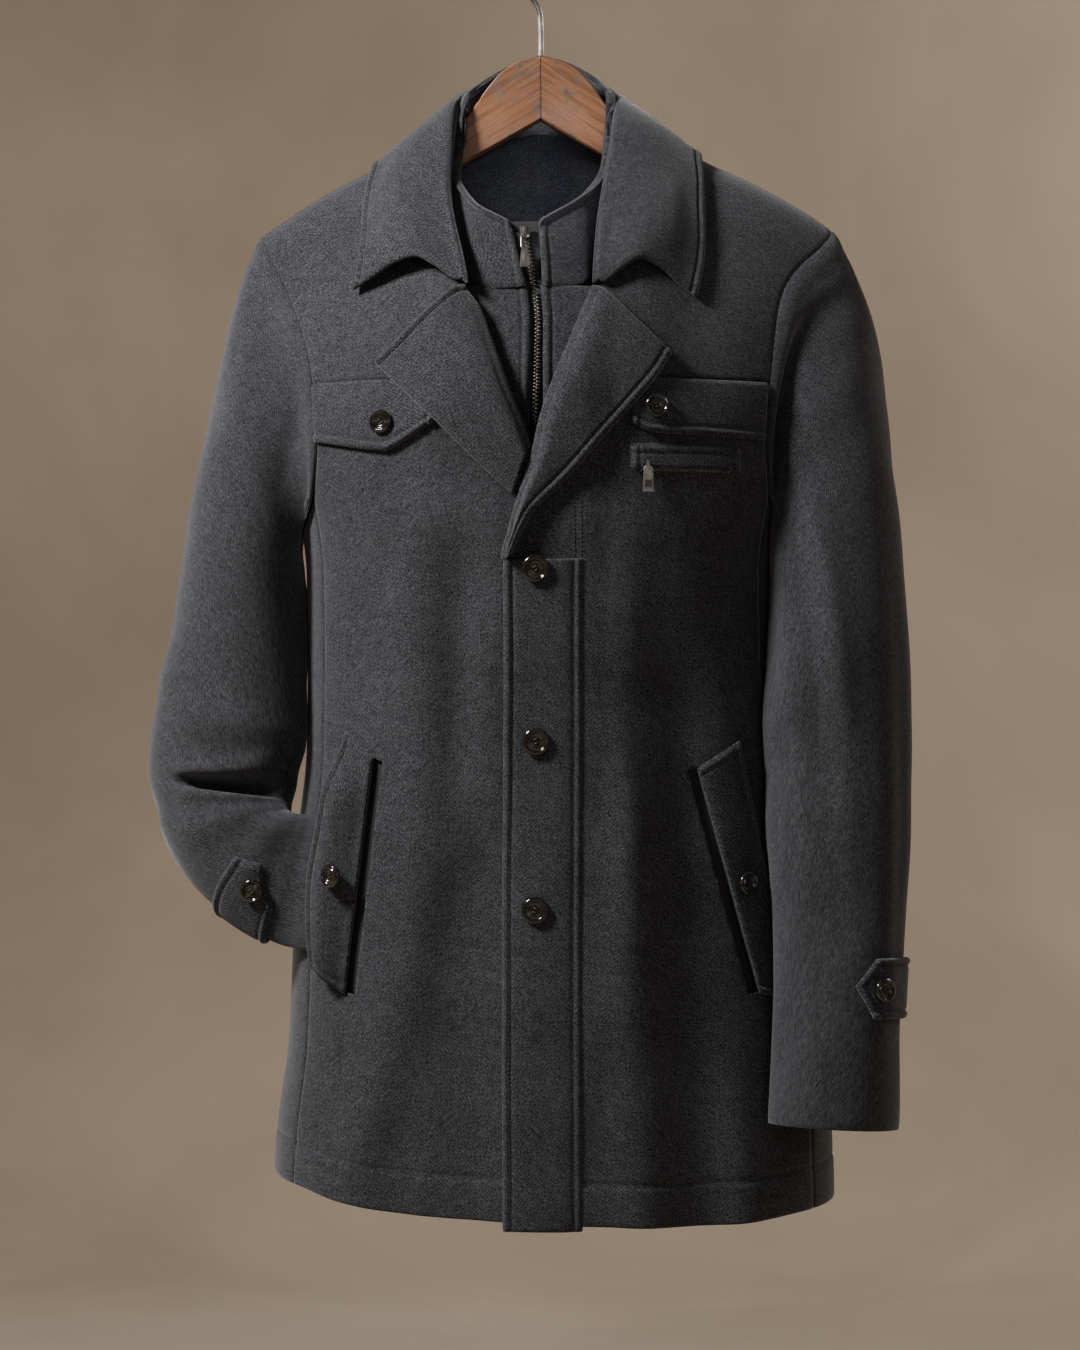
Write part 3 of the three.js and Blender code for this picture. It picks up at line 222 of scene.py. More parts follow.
def smooth(t):
    s = np.clip(t, 0, 1)
    return s * s * (3 - 2 * s)


def bell(t):
    return np.exp(-np.square(t))


def bySide(x, right, left):
    return np.where(np.asarray(x) < 0, right, left)


def halfWidth(z, x):
    return bySide(x, along(bodyRows, "z", z, "right"), along(bodyRows, "z", z, "left"))


def roundOff(share):
    return (1 - np.minimum(1, np.abs(share)) ** squareness) ** (1 / squareness)


def turnShare(turn):
    return np.abs(np.sin(np.radians(turn))) ** (2 / squareness)


def depthShare(turn):
    return np.abs(np.cos(np.radians(turn))) ** (2 / squareness)


def shoulderZ(x):
    far = np.abs(x)
    return bySide(x, along(shoulderRows, "x", far, "right"), along(shoulderRows, "x", far, "left"))


def foldDepth(rows, x, z):
    total = 0
    for across, low, high, wide, depth, slant in zip(*rows.values()):
        middle = across + (z - (low + high) / 2) * slant
        ends = 1 if low < -1000 else smooth((z - low) / 70)
        total = total + depth * bell((x - middle) / wide) * ends * smooth((high - z) / 110)
    return total


# low uneven swells that no woven cloth is free of
swells = {"seed": 7, "count": 9, "shortest": 38, "longest": 150, "height": 0.34}
swellRandom = np.random.default_rng(swells["seed"])
swellWaves = [
    (
        swellRandom.uniform(0, 2 * math.pi),
        swellRandom.uniform(swells["shortest"], swells["longest"]),
        swellRandom.uniform(0, 2 * math.pi),
    )
    for _ in range(swells["count"])
]


def swell(x, z):
    total = 0
    for way, length, start in swellWaves:
        run = (x * math.cos(way) + z * math.sin(way)) * 2 * math.pi / length
        total = total + np.sin(run + start + 0.7 * np.sin(run * 0.37))
    return total * swells["height"]


def fullness(depth, drop, run):
    roll = np.minimum(shoulderRoll["depth"], depth)
    share = np.clip(np.maximum(0, drop) / run, 0, 1)
    rolled = roll * (1 - np.exp(-np.maximum(0, drop) / shoulderRoll["run"]))
    return rolled + (depth - roll) * (1 - (1 - share) ** 1.6)


def gentle(x, z, drop):
    # the swells die out at the shoulders and before the side seams
    return swell(x, z) * smooth(drop / 60) * smooth((0.9 - np.abs(x) / halfWidth(z, x)) / 0.16)


def frontY(x, z):
    depth = along(bodyRows, "z", z, "front") * roundOff(x / halfWidth(z, x))
    drop = shoulderZ(x) - z
    folds = (foldDepth(frontFolds, x, z) + gentle(x, z, drop)) * np.minimum(1, depth / 60)
    return -fullness(depth + folds, drop, chestRun)


nape = {"deep": 46, "half": 84, "softness": 0.03, "run": 50, "drop": 26}


def napeDepth(x, drop):
    # its ends are rounded off below the seam, so that no crease runs down the back
    share = 1 - (x / nape["half"]) ** 2
    rounded = (share + np.sqrt(share**2 + nape["softness"])) / 2
    return nape["deep"] * lerp(np.maximum(0, share), rounded, smooth(drop / nape["run"]))


def napeDrop(x):
    return nape["drop"] * np.maximum(0, 1 - (x / neckX) ** 2)


def backY(x, z):
    depth = along(bodyRows, "z", z, "back") * roundOff(x / halfWidth(z, x))
    drop = shoulderZ(x) - napeDrop(x) - z
    out = napeDepth(x, drop)
    folds = (foldDepth(backFolds, x, z) + gentle(x, z, drop)) * np.minimum(1, depth / 60)
    return out + fullness(np.maximum(6, depth + folds - out), drop, bladeRun)


def unit(vectors):
    return vectors / np.maximum(1e-9, np.linalg.norm(vectors, axis=-1, keepdims=True))


def stack(x, y, z):
    return np.stack(np.broadcast_arrays(np.asarray(x, float), y, z), -1)


def slopes(height, x, z):
    step = 0.5
    dx = (height(x + step, z) - height(x - step, z)) / (2 * step)
    dz = (height(x, z + step) - height(x, z - step)) / (2 * step)
    return dx, dz


def facePoint(height, x, z, lift=0):
    dx, dz = slopes(height, x, z)
    way = -1 if height is frontY else 1
    normal = unit(stack(-dx * way, way, -dz * way))
    return stack(x, height(x, z), z) + normal * np.asarray(lift, float)[..., None]


def onFront(x, z, lift=0):
    return facePoint(frontY, x, z, lift)


def onSide(turn, z, lift=0):
    def at(angle):
        fore = np.abs(angle) < 90
        depth = np.where(fore, along(bodyRows, "z", z, "front"), along(bodyRows, "z", z, "back"))
        x = np.sign(angle) * halfWidth(z, angle) * turnShare(angle)
        return stack(x, np.where(fore, -1, 1) * depth * depthShare(angle), z)
    run = unit(at(turn + 1) - at(turn - 1))
    out = stack(run[..., 1], -run[..., 0], 0)
    return at(turn) + out * np.asarray(lift, float)[..., None]


def seamX(z, way):
    return way * halfWidth(z, way) * turnShare(seamTurn)


def armholeX(z, way, face):
    side = "right" if way < 0 else "left"
    out = along(armholeRows, "z", z, "back" if face == "back" else side)
    share = (shoulderTip[side] - 178) / 50 if face == "back" else 1
    above = seamX(underarm["corner"], way) + way * (out * share - seam * 0.5)
    return np.where(np.asarray(z) < underarm["corner"], seamX(z, way) - way * seam * 0.5, above)


def hemZ(turn):
    return along(hemRows, "turn", turn, "z")


def turnOf(x, z):
    share = np.minimum(1, np.abs(x) / halfWidth(z, x)) ** (squareness / 2)
    return np.sign(x) * np.degrees(np.arcsin(share))


sleeveClear = {"from": -438, "run": 9, "above": -440, "flank": 0.94}


def clearOf(p, lift):
    # moves a sleeve's points out of the body, below the armhole
    x, y, z = p[..., 0], p[..., 1], p[..., 2]
    away = lift * smooth((sleeveClear["from"] - z) / sleeveClear["run"])
    wide = halfWidth(z, x)
    deep = np.where(y < 0, along(bodyRows, "z", z, "front"), along(bodyRows, "z", z, "back"))
    across = (np.abs(x) / (wide + away)) ** squareness
    through = (np.abs(y) / (deep + away)) ** squareness
    scale = np.maximum(1, (across + through) ** (-1 / squareness))
    outX, outY = x * scale, y * scale
    steep = 1 / np.maximum(0.5, roundOff(outX / wide))
    fore = np.minimum(outY, frontY(outX, z) - away * steep)
    outY = np.where((outY < 0) & (np.abs(outX) < wide * sleeveClear["flank"]), fore, outY)
    return np.where((z > sleeveClear["above"])[..., None], p, stack(outX, outY, z))


def clearCoat(p, lift):
    # moves points out of the coat, and up off its shoulders
    x, y = p[..., 0], p[..., 1]
    ridge = shoulderZ(x) + lift * 1.2 - np.maximum(0, np.abs(y) - 2) * 0.45
    z = np.where(np.abs(y) < 12, np.maximum(p[..., 2], ridge), p[..., 2])
    fore = y < 0

    def height(a, b):
        return np.where(fore, frontY(a, b), backY(a, b))
    dx, dz = slopes(height, x, z)
    away = lift * np.minimum(2.6, np.sqrt(1 + dx * dx + dz * dz))
    held = np.where(fore, np.minimum(y, frontY(x, z) - away), np.maximum(y, backY(x, z) + away))
    return stack(x, np.where(z > shoulderZ(x), y, held), z)


def curvePoints(points, count, closed=False, power=0.5):
    # a centripetal curve through the points, sampled at even lengths
    p = np.array(points, float)
    if closed:
        p = np.concatenate([p[-1:], p, p[:2]])
    else:
        p = np.concatenate([2 * p[:1] - p[1:2], p, 2 * p[-1:] - p[-2:-1]])
    fine = []
    for a, b, c, d in zip(p[:-3], p[1:-2], p[2:-1], p[3:]):
        da, db, dc = (max(1e-6, np.linalg.norm(v)) ** power for v in (b - a, c - b, d - c))
        first = ((b - a) / da - (c - a) / (da + db) + (c - b) / db) * db
        second = ((c - b) / db - (d - b) / (db + dc) + (d - c) / dc) * db
        t = np.linspace(0, 1, 24, endpoint=False)[:, None]
        fine.append(
            b * (2 * t**3 - 3 * t**2 + 1) + c * (3 * t**2 - 2 * t**3)
            + first * (t**3 - 2 * t**2 + t) + second * (t**3 - t**2)
        )
    fine = np.concatenate([*fine, p[-2:-1]])
    run = np.concatenate([[0], np.cumsum(np.linalg.norm(np.diff(fine, axis=0), axis=1))])
    at = np.linspace(0, run[-1], count)
    return np.stack([np.interp(at, run, fine[:, k]) for k in range(p.shape[1])], -1)


def edge(points):
    fine = curvePoints(points, 400)
    share = np.linspace(0, 1, len(fine))
    return lambda t: (np.interp(t, share, fine[:, 0]), np.interp(t, share, fine[:, 1]))


def line(a, b):
    return lambda t: (lerp(a[0], b[0], t), lerp(a[1], b[1], t))


def patch(low, high, start, end, rise=lambda v: v):
    def shape(u, v):
        w = rise(v)
        first, last = np.zeros(1), np.ones(1)
        found = []
        for k in (0, 1):
            flatLow = lerp(low(first)[k], low(last)[k], u)
            flatHigh = lerp(high(first)[k], high(last)[k], u)
            found.append(
                (1 - u) * start(v)[k] + u * end(v)[k]
                + (1 - w) * (low(u)[k] - flatLow) + w * (high(u)[k] - flatHigh)
            )
        return found
    return shape


# paint: Python expressions that become shader nodes
class Value:
    def __init__(self, paint, socket):
        self.paint = paint
        self.socket = socket

    def __add__(self, other):
        return self.paint.maths("ADD", self, other)

    def __sub__(self, other):
        return self.paint.maths("SUBTRACT", self, other)

    def __mul__(self, other):
        return self.paint.maths("MULTIPLY", self, other)

    def __radd__(self, other):
        return self.paint.maths("ADD", other, self)

    def __rsub__(self, other):
        return self.paint.maths("SUBTRACT", other, self)

    def sine(self):
        return self.paint.maths("SINE", self)

    def far(self):
        return self.paint.maths("ABSOLUTE", self)

    def between(self, low, high):
        return self.paint.node(
            "ShaderNodeMapRange", {"interpolation_type": "SMOOTHSTEP"}, {0: self, 1: low, 2: high}
        )


class Paint:
    def __init__(self, name):
        self.material = bpy.data.materials.new(name)
        self.material.use_nodes = True
        self.tree = self.material.node_tree
        self.tree.nodes.clear()

    def node(self, kind, settings=None, inputs=None, out=0):
        made = self.tree.nodes.new(kind)
        for key, value in (settings or {}).items():
            if key == "stops":
                while len(made.color_ramp.elements) < len(value):
                    made.color_ramp.elements.new(0.5)
                for element, (at, colour) in zip(made.color_ramp.elements, value):
                    element.position = at
                    element.color = (*colour, 1)
            else:
                setattr(made, key, value)
        for key, value in (inputs or {}).items():
            if isinstance(value, Value):
                self.tree.links.new(value.socket, made.inputs[key])
            else:
                made.inputs[key].default_value = value
        return Value(self, made.outputs[out])

    def maths(self, kind, *values):
        return self.node("ShaderNodeMath", {"operation": kind}, dict(enumerate(values)))

    def noise(self, place, scale, detail=2, roughness=0.5, warp=0):
        sizes = {"Vector": place, "Scale": scale, "Detail": detail, "Roughness": roughness}
        return self.node("ShaderNodeTexNoise", {}, {**sizes, "Distortion": warp})

    def turned(self, place, angle=0, scale=(1, 1, 1)):
        turn = (0, 0, math.radians(angle))
        return self.node("ShaderNodeMapping", {}, {"Vector": place, "Rotation": turn, "Scale": scale})

    def part(self, place, axis):
        return self.node("ShaderNodeSeparateXYZ", {}, {0: place}, out=axis)

    def blend(self, factor, low, high):
        low = low if isinstance(low, Value) else (*low, 1)
        high = high if isinstance(high, Value) else (*high, 1)
        return self.node("ShaderNodeMix", {"data_type": "RGBA"}, {0: factor, 6: low, 7: high}, out=2)

    def bump(self, height, strength, distance):
        return self.node(
            "ShaderNodeBump", {}, {"Height": height, "Strength": strength, "Distance": distance}
        )

    def finish(self, colour, **sockets):
        shader = self.node("ShaderNodeBsdfPrincipled", {}, {"Base Color": colour, **sockets})
        output = self.tree.nodes.new("ShaderNodeOutputMaterial")
        self.tree.links.new(shader.socket, output.inputs["Surface"])
        return self.material


woolLook = {
    "dark": (0.0085, 0.0089, 0.0112),
    "light": (0.070, 0.0725, 0.084),
    "fleck": (0.17, 0.173, 0.19),
    "walePitch": 0.0021,
    "lean": 45,
    "sheen": 0.32,
}


def wool(name, shade=1.0, look=woolLook):
    paint = Paint(name)
    place = paint.node("ShaderNodeUVMap", {"uv_map": "cloth"})
    turned = paint.turned(place, look["lean"])
    fibre = paint.noise(paint.turned(turned, 0, (1050, 420, 1)), 1, 2, 0.6)
    fine = paint.noise(paint.turned(place, 12, (1500, 1500, 1)), 1, 1, 0.5)
    fleck = paint.noise(paint.turned(turned, 0, (1200, 520, 1)), 1, 1, 0.5, 0.6)
    cloud = paint.noise(place, 120, 2, 0.6)
    drift = paint.noise(place, 14, 2, 0.5)
    across = paint.part(turned, 0) + (cloud - 0.5) * 0.004
    wale = (across * (2 * math.pi / look["walePitch"])).sine()
    tone = (fibre - 0.5) * 2.5 + (fine - 0.5) * 1.3 + wale * 0.12
    tone = tone + (cloud - 0.5) * 0.6 + (drift - 0.5) * 0.35
    dark, light, pale = (tuple(c * shade for c in look[key]) for key in ("dark", "light", "fleck"))
    ground = paint.blend((tone + 0.42).between(0.0, 1.0), dark, light)
    colour = paint.blend(fleck.between(0.62, 0.76) * 0.4, ground, pale)
    nap = fibre * 0.6 + fine * 0.25 + wale * 0.07
    return paint.finish(colour, **{
        "Roughness": 0.92,
        "Specular IOR Level": 0.2,
        "Sheen Weight": look["sheen"],
        "Sheen Roughness": 0.45,
        "Sheen Tint": (0.72, 0.74, 0.8, 1),
        "Normal": paint.bump(nap, 0.55, 0.0006),
    })


def plainCloth(name, low, high, pitch, roughness=0.8):
    paint = Paint(name)
    place = paint.node("ShaderNodeUVMap", {"uv_map": "cloth"})
    rib = (paint.part(place, 0) * (2 * math.pi / pitch)).sine() * 0.5 + 0.5
    cloud = paint.noise(place, 260, 2, 0.6)
    colour = paint.blend(rib * 0.4 + cloud * 0.5, low, high)
    return paint.finish(colour, Roughness=roughness, Normal=paint.bump(rib + cloud * 0.4, 0.4, 0.0003))


def threadPaint():
    paint = Paint("thread")
    place = paint.node("ShaderNodeTexCoord", {}, {}, out=3)
    colour = paint.blend(paint.noise(place, 300, 1), (0.02, 0.02, 0.023), (0.075, 0.075, 0.08))
    return paint.finish(colour, Roughness=0.6)


def buttonPaint():
    paint = Paint("buttonGloss")
    place = paint.node("ShaderNodeTexCoord", {}, {}, out=3)
    streak = paint.noise(paint.turned(place, 30, (1, 1, 3)), 130, 3, 0.6, 1.2)
    colour = paint.blend(streak.between(0.4, 0.75), (0.006, 0.0055, 0.005), (0.035, 0.026, 0.02))
    return paint.finish(colour, **{
        "Roughness": 0.09 + streak * 0.08, "Coat Weight": 0.6, "Coat Roughness": 0.05,
    })


def metalPaint(name, low, high, roughness, grain=500):
    paint = Paint(name)
    place = paint.node("ShaderNodeTexCoord", {}, {}, out=3)
    wear = paint.noise(place, 90, 4, 0.65)
    brushed = paint.noise(paint.turned(place, 0, (1, 1, 0.08)), grain, 2)
    colour = paint.blend(wear.between(0.35, 0.7), low, high)
    return paint.finish(colour, **{
        "Metallic": 1.0, "Roughness": roughness + brushed * 0.12 + wear * 0.08,
        "Normal": paint.bump(brushed, 0.1, 0.0001),
    })


woodLook = {
    "pale": (0.29, 0.135, 0.066), "tan": (0.15, 0.06, 0.027), "deep": (0.04, 0.018, 0.011),
    "worn": (0.11, 0.1, 0.09), "stain": (0.018, 0.015, 0.014), "arm": 32,
}


def woodPaint():
    paint = Paint("wornWood")
    look = woodLook
    spot = paint.node("ShaderNodeTexCoord", {}, {}, out=3)
    x, y, z = (paint.part(spot, k) for k in range(3))
    far = x.far()
    lean = math.radians(look["arm"])
    run = far * math.cos(lean) - z * math.sin(lean)
    rise = far * math.sin(lean) + z * math.cos(lean)

    def stretched(along, deep, up):
        return paint.node("ShaderNodeCombineXYZ", {}, {0: run * along, 1: y * deep, 2: rise * up})
    place = paint.node("ShaderNodeCombineXYZ", {}, {0: run * 9 + x * 3, 1: y * 60, 2: rise * 150})
    grain = paint.noise(place, 1.6, 4, 0.65, 0.8)
    pore = paint.noise(stretched(40, 300, 1500), 1, 2, 0.6)
    patchy = paint.noise(spot, 34, 4, 0.7, 1.2) + (1 - far.between(0.004, 0.05)) * 0.07
    scuff = paint.noise(stretched(60, 90, 260), 1, 4, 0.75)
    colour = paint.blend(grain.between(0.35, 0.65), look["tan"], look["pale"])
    colour = paint.blend(pore.between(0.58, 0.78) * 0.75, colour, look["deep"])
    worn = patchy.between(0.52, 0.62) * scuff.between(0.4, 0.62)
    colour = paint.blend(worn * 0.8, colour, look["worn"])
    black = patchy.between(0.57, 0.66) * scuff.between(0.5, 0.66) * pore.between(0.4, 0.6)
    colour = paint.blend(black * 0.95, colour, look["stain"])
    mitre = 1 - far.between(0.0002, 0.0009)
    colour = paint.blend(mitre * 0.85, colour, look["stain"])
    return paint.finish(colour, **{
        "Roughness": 0.36 + worn * 0.4 + grain * 0.1,
        "Coat Weight": 0.25 - worn * 0.2,
        "Coat Roughness": 0.2,
        "Normal": paint.bump(grain * 0.5 + pore * 0.5 - black * 0.6 - mitre, 0.35, 0.0005),
    })


paints = {
    "wool": wool("charcoalWool"),
    "innerWool": wool("bibWool", 0.86),
    # the pocket cloth is near-black: painted shade standing in for the dark inside the hand-pocket slots
    "pocket": plainCloth("pocketCloth", (0.004, 0.004, 0.005), (0.012, 0.012, 0.014), 0.0009, 0.7),
    "tape": plainCloth("zipTape", (0.006, 0.006, 0.007), (0.024, 0.024, 0.027), 0.0008),
    "thread": threadPaint(),
    "button": buttonPaint(),
    "zip": metalPaint("zipMetal", (0.32, 0.3, 0.27), (0.62, 0.58, 0.52), 0.2),
    "pull": metalPaint("pullMetal", (0.15, 0.14, 0.125), (0.34, 0.315, 0.28), 0.3),
    "teeth": metalPaint("zipTeeth", (0.12, 0.11, 0.095), (0.3, 0.275, 0.235), 0.32),
    "steel": metalPaint("hookSteel", (0.42, 0.4, 0.37), (0.72, 0.69, 0.64), 0.18),
    "wood": woodPaint(),
}
print("paints mixed")


# meshes
def eased(count, ease):
    t = np.linspace(0, 1, count + 1)
    return t - ease * np.sin(2 * math.pi * t) / (2 * math.pi)


def gridOf(rows, columns, ease=(0.0, 0.0)):
    v, u = np.meshgrid(eased(rows, ease[0]), eased(columns, ease[1]), indexing="ij")
    return u, v


def lengths(p, axis):
    step = np.linalg.norm(np.diff(p, axis=axis), axis=-1)
    start = np.zeros_like(np.take(step, [0], axis=axis))
    return np.concatenate([start, np.cumsum(step, axis=axis)], axis=axis)


def reach(p):
    # millimetres from each edge of a grid of points
    across, up = lengths(p, 1), lengths(p, 0)
    return {"start": across, "end": across[:, -1:] - across, "low": up, "high": up[-1:] - up}


# the rises and grooves beside an edge: height, distance from the edge and width
reliefs = {
    "seam": [(-0.95, 0, 1.5)],
    "bead": [(0.8, 2.9, 2.2), (-1.15, stitchInset, 1.15), (-0.7, 0, 1.0)],
    "topstitch": [(-0.95, 0, 1.4), (0.35, 3.4, 2.0), (-0.6, 6.5, 1.0)],
    "hem": [(-1.3, hemDeep, 1.9), (-0.5, 0, 1.2)],
    "plain": [(-0.55, 0, 1.2)],
}
hemStep = {"high": 0.5, "from": hemDeep + 2, "run": 4}


def relief(away, edges):
    height = 0
    for where, kind in edges.items():
        far = away[where]
        height = height + sum(high * bell((far - at) / wide) for high, at, wide in reliefs[kind])
        if kind == "hem":
            height = height + hemStep["high"] * smooth((hemStep["from"] - far) / hemStep["run"])
    return height


def putInScene(name, data):
    made = bpy.data.objects.new(name, data)
    bpy.context.scene.collection.objects.link(made)
    return made


def smoothOver(mesh, material, crease=None):
    mesh.polygons.foreach_set("use_smooth", np.ones(len(mesh.polygons), bool))
    if crease:
        mesh.set_sharp_from_angle(angle=math.radians(crease))
    mesh.materials.append(material)


def faceOut(mesh):
    edit = bmesh.new()
    edit.from_mesh(mesh)
    bmesh.ops.recalc_face_normals(edit, faces=edit.faces)
    edit.to_mesh(mesh)
    edit.free()


def cutAway(piece, tool):
    # the piece's mesh with the tool's shape taken out of it
    cutter = piece.modifiers.new("cut", "BOOLEAN")
    cutter.object = tool
    cutter.solver = "EXACT"
    cutter.operation = "DIFFERENCE"
    bpy.context.view_layer.update()
    graph = bpy.context.evaluated_depsgraph_get()
    finished = bpy.data.meshes.new_from_object(piece.evaluated_get(graph))
    piece.modifiers.clear()
    bpy.data.objects.remove(tool)
    return finished


def seat(piece, paint, body="coat", nodes=()):
    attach(piece, body)
    if nodes:
        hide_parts(*nodes)
    return piece


def makeMesh(name, points, quads, uvs, paint):
    mesh = bpy.data.meshes.new(name)
    a, b, c, d = (points[quads[:, k]] for k in range(4))
    volume = sum(np.einsum("ij,ij->i", a, np.cross(p, q)).sum() for p, q in ((b, c), (c, d)))
    if volume < 0:
        quads, uvs = quads[:, ::-1], uvs[:, ::-1]
    mesh.from_pydata((points * 0.001).tolist(), [], quads.tolist())
    layer = mesh.uv_layers.new(name="cloth")
    layer.data.foreach_set("uv", (uvs.reshape(-1, 2) * 0.001).astype(np.float32).ravel())
    smoothOver(mesh, paints[paint])
    mesh.update()
    return putInScene(name, mesh)


def shell(name, outer, inner, paint, rings=False, bulge=0.3, grain=0):
    # a closed wall between two grids of points, with rounded rims
    rows, columns = outer.shape[:2]
    index = np.arange(rows * columns).reshape(rows, columns)
    s, t = lengths(outer, 1), lengths(outer, 0)
    s = s - s[:, columns // 2][:, None]
    if rings:
        girth = s[:, -1:] - s[:, :1] + np.linalg.norm(outer[:, -1] - outer[:, 0], axis=1)[:, None]
        index = np.concatenate([index, index[:, :1]], 1)
        s = np.concatenate([s, s[:, :1] + girth], 1)
        t = np.concatenate([t, t[:, :1]], 1)
    c, w = math.cos(math.radians(grain)), math.sin(math.radians(grain))
    uv = np.stack([s * c - t * w, s * w + t * c], -1)

    def quadsOf(grid):
        return np.stack([grid[:-1, :-1], grid[:-1, 1:], grid[1:, 1:], grid[1:, :-1]], -1)
    faces = quadsOf(index).reshape(-1, 4)
    faceUv = np.stack([uv[:-1, :-1], uv[:-1, 1:], uv[1:, 1:], uv[1:, :-1]], 2).reshape(-1, 4, 2)
    count = rows * columns
    quads = [faces, (faces + count)[:, ::-1]]
    uvs = [faceUv, faceUv[:, ::-1]]
    points = [outer.reshape(-1, 3), inner.reshape(-1, 3)]
    total = 2 * count
    ringCount = index.shape[1]

    def loopOf(i, j):
        return list(zip(i, j))
    if rings:
        loops = [
            loopOf([0] * ringCount, range(ringCount)),
            loopOf([rows - 1] * ringCount, range(ringCount - 1, -1, -1)),
        ]
    else:
        loops = [
            loopOf([0] * (columns - 1), range(columns - 1))
            + loopOf(range(rows - 1), [columns - 1] * (rows - 1))
            + loopOf([rows - 1] * (columns - 1), range(columns - 1, 0, -1))
            + loopOf(range(rows - 1, 0, -1), [0] * (rows - 1))
            + [(0, 0)]
        ]
    for loop in loops:
        i, j = np.array(loop).T
        jj = j % columns
        beside = [
            np.where(i == 0, 1, np.where(i == rows - 1, rows - 2, i)),
            jj if rings else np.where(jj == 0, 1, np.where(jj == columns - 1, columns - 2, jj)),
        ]
        o, n = outer[i, jj], inner[i, jj]
        out = unit(o - outer[beside[0], beside[1]]) * bulge
        middle, half = (o + n) / 2, (o - n) / 2
        turns = [math.pi * k / 4 for k in (1, 2, 3)]
        mids = [middle + half * math.cos(a) + out * math.sin(a) for a in turns]
        chain = [i * columns + jj]
        last = len(loop) - 1
        for mid in mids:
            points.append(mid[:-1])
            ids = total + np.arange(last)
            chain.append(np.concatenate([ids, ids[:1]]))
            total += last
        chain.append(i * columns + jj + count)
        rim = uv[i, j]
        for a, b in zip(chain[:-1], chain[1:]):
            quads.append(np.stack([a[1:], a[:-1], b[:-1], b[1:]], -1))
            uvs.append(np.stack([rim[1:], rim[:-1], rim[:-1], rim[1:]], 1))
    return makeMesh(name, np.concatenate(points), np.concatenate(quads), np.concatenate(uvs), paint)


pieceNotes = []  # each sheet's name, flat size and area, printed at the end


flatShare = {"least": 0.31, "most": 0.999}  # what a stated area may be of its flat size


def declare(piece, grid, nodes, paint="wool", rests=(), held="hung", rings=False):
    across, up = lengths(grid, 1), lengths(grid, 0)
    wide = across[:, -1]
    if rings:
        wide = wide + np.linalg.norm(grid[:, -1] - grid[:, 0], axis=1)
    here, beside, over, above = grid[:-1, :-1], grid[:-1, 1:], grid[1:, 1:], grid[1:, :-1]
    area = 0.0
    for b, c in ((beside, over), (over, above)):
        area += np.linalg.norm(np.cross(b - here, c - here), axis=-1).sum() / 2
    if rings:
        area *= wide.mean() / across[:, -1].mean()
    flat = tuple(round(float(long.max()) / 1000, 3) for long in (wide, up[-1]))
    whole = flat[0] * flat[1]
    area = min(max(flatShare["least"] * whole, float(area) * 1e-6), whole * flatShare["most"])
    seat(piece, paint, nodes=nodes)
    list(rests)
    pieceNotes.append((piece.name, flat, round(area, 4)))


def laidCloth(name, nodes, point, rows, columns, edges, thick=cloth, ease=(0.5, 0.5), bulge=0.3,
              paint="wool", grain=0, rests=(), held="stretched", lift=None):
    u, v = gridOf(rows, columns, ease)
    base = lift(u, v) if lift else np.zeros_like(u)
    outer = point(u, v, base + relief(reach(point(u, v, base)), edges))
    piece = shell(name, outer, point(u, v, base - thick), paint, bulge=bulge, grain=grain)
    declare(piece, outer, nodes, paint, rests, held)
    return piece, outer


seams = []  # lines of stitches: points on the cloth, in millimetres, and the way out of it


def insetLine(grid, edgeName, inset, ends=(0, 0)):
    # the line that lies this far in from one edge of a grid of points
    p = grid if edgeName in ("start", "end") else np.swapaxes(grid, 0, 1)
    if edgeName in ("end", "high"):
        p = p[:, ::-1]
    run = lengths(p, 1)
    found = np.array([[np.interp(inset, run[i], p[i, :, k]) for k in range(3)] for i in range(len(p))])
    walk = lengths(found, 0)
    kept = (walk >= ends[0]) & (walk <= walk[-1] - ends[1])
    ahead = np.concatenate([p[1:, 0], p[-1:, 0]])
    behind = np.concatenate([p[:1, 0], p[:-1, 0]])
    outward = unit(np.cross(p[:, 1] - p[:, 0], ahead - behind))
    return found[kept], outward[kept]


def forward(points):
    return np.array([0, -1, 0])


def sew(grid, edgeName, inset=stitchInset, ends=(6, 6), outside=forward):
    points, outward = insetLine(grid, edgeName, inset, ends)
    flip = np.sign((outward * outside(points)).sum())
    seams.append((points, outward * (flip if flip else 1)))


# panels
def rollX(z, side):
    return along(rollRows, "z", z, side) + wayOf[side] * seam


def proud(side, x):
    if side == "right":
        return np.zeros_like(x)
    return overlap["lift"] * smooth((overlap["to"] - x) / (overlap["to"] - overlap["from"]))


def frontPoint(side, at, lift):
    return onFront(at[0], at[1], proud(side, at[0]) + lift)


def frontSurface(side, shape):
    def point(u, v, lift):
        return frontPoint(side, shape(u, v), lift)
    return point


def crowded(v):
    return 1 - (1 - v) ** 1.6


def frontShape(side):
    way = wayOf[side]
    top = yokeSeam - seam / 2
    share = cornerShare["front"]
    inner = rollX(-1000, side)
    hemCorner = hemZ(way * seamTurn)
    lowZ = hemZ(turnOf(inner, hemCorner))

    def low(u):
        x = lerp(inner, armholeX(hemCorner, way, "front"), u)
        return x, hemZ(turnOf(x, hemCorner))

    def high(u):
        return lerp(rollX(yokeSeam, side), armholeX(top, way, "front"), u), top + 0 * u

    def start(v):
        z = lerp(lowZ, top, v)
        return rollX(z, side), z

    def end(v):
        hemEnd = hemZ(turnOf(armholeX(hemCorner, way, "front"), hemCorner))
        below = lerp(hemEnd, underarm["corner"], v / share)
        above = lerp(underarm["corner"], top, (v - share) / (1 - share))
        z = np.where(v < share, below, above)
        return armholeX(z, way, "front"), z
    return patch(low, high, start, end)


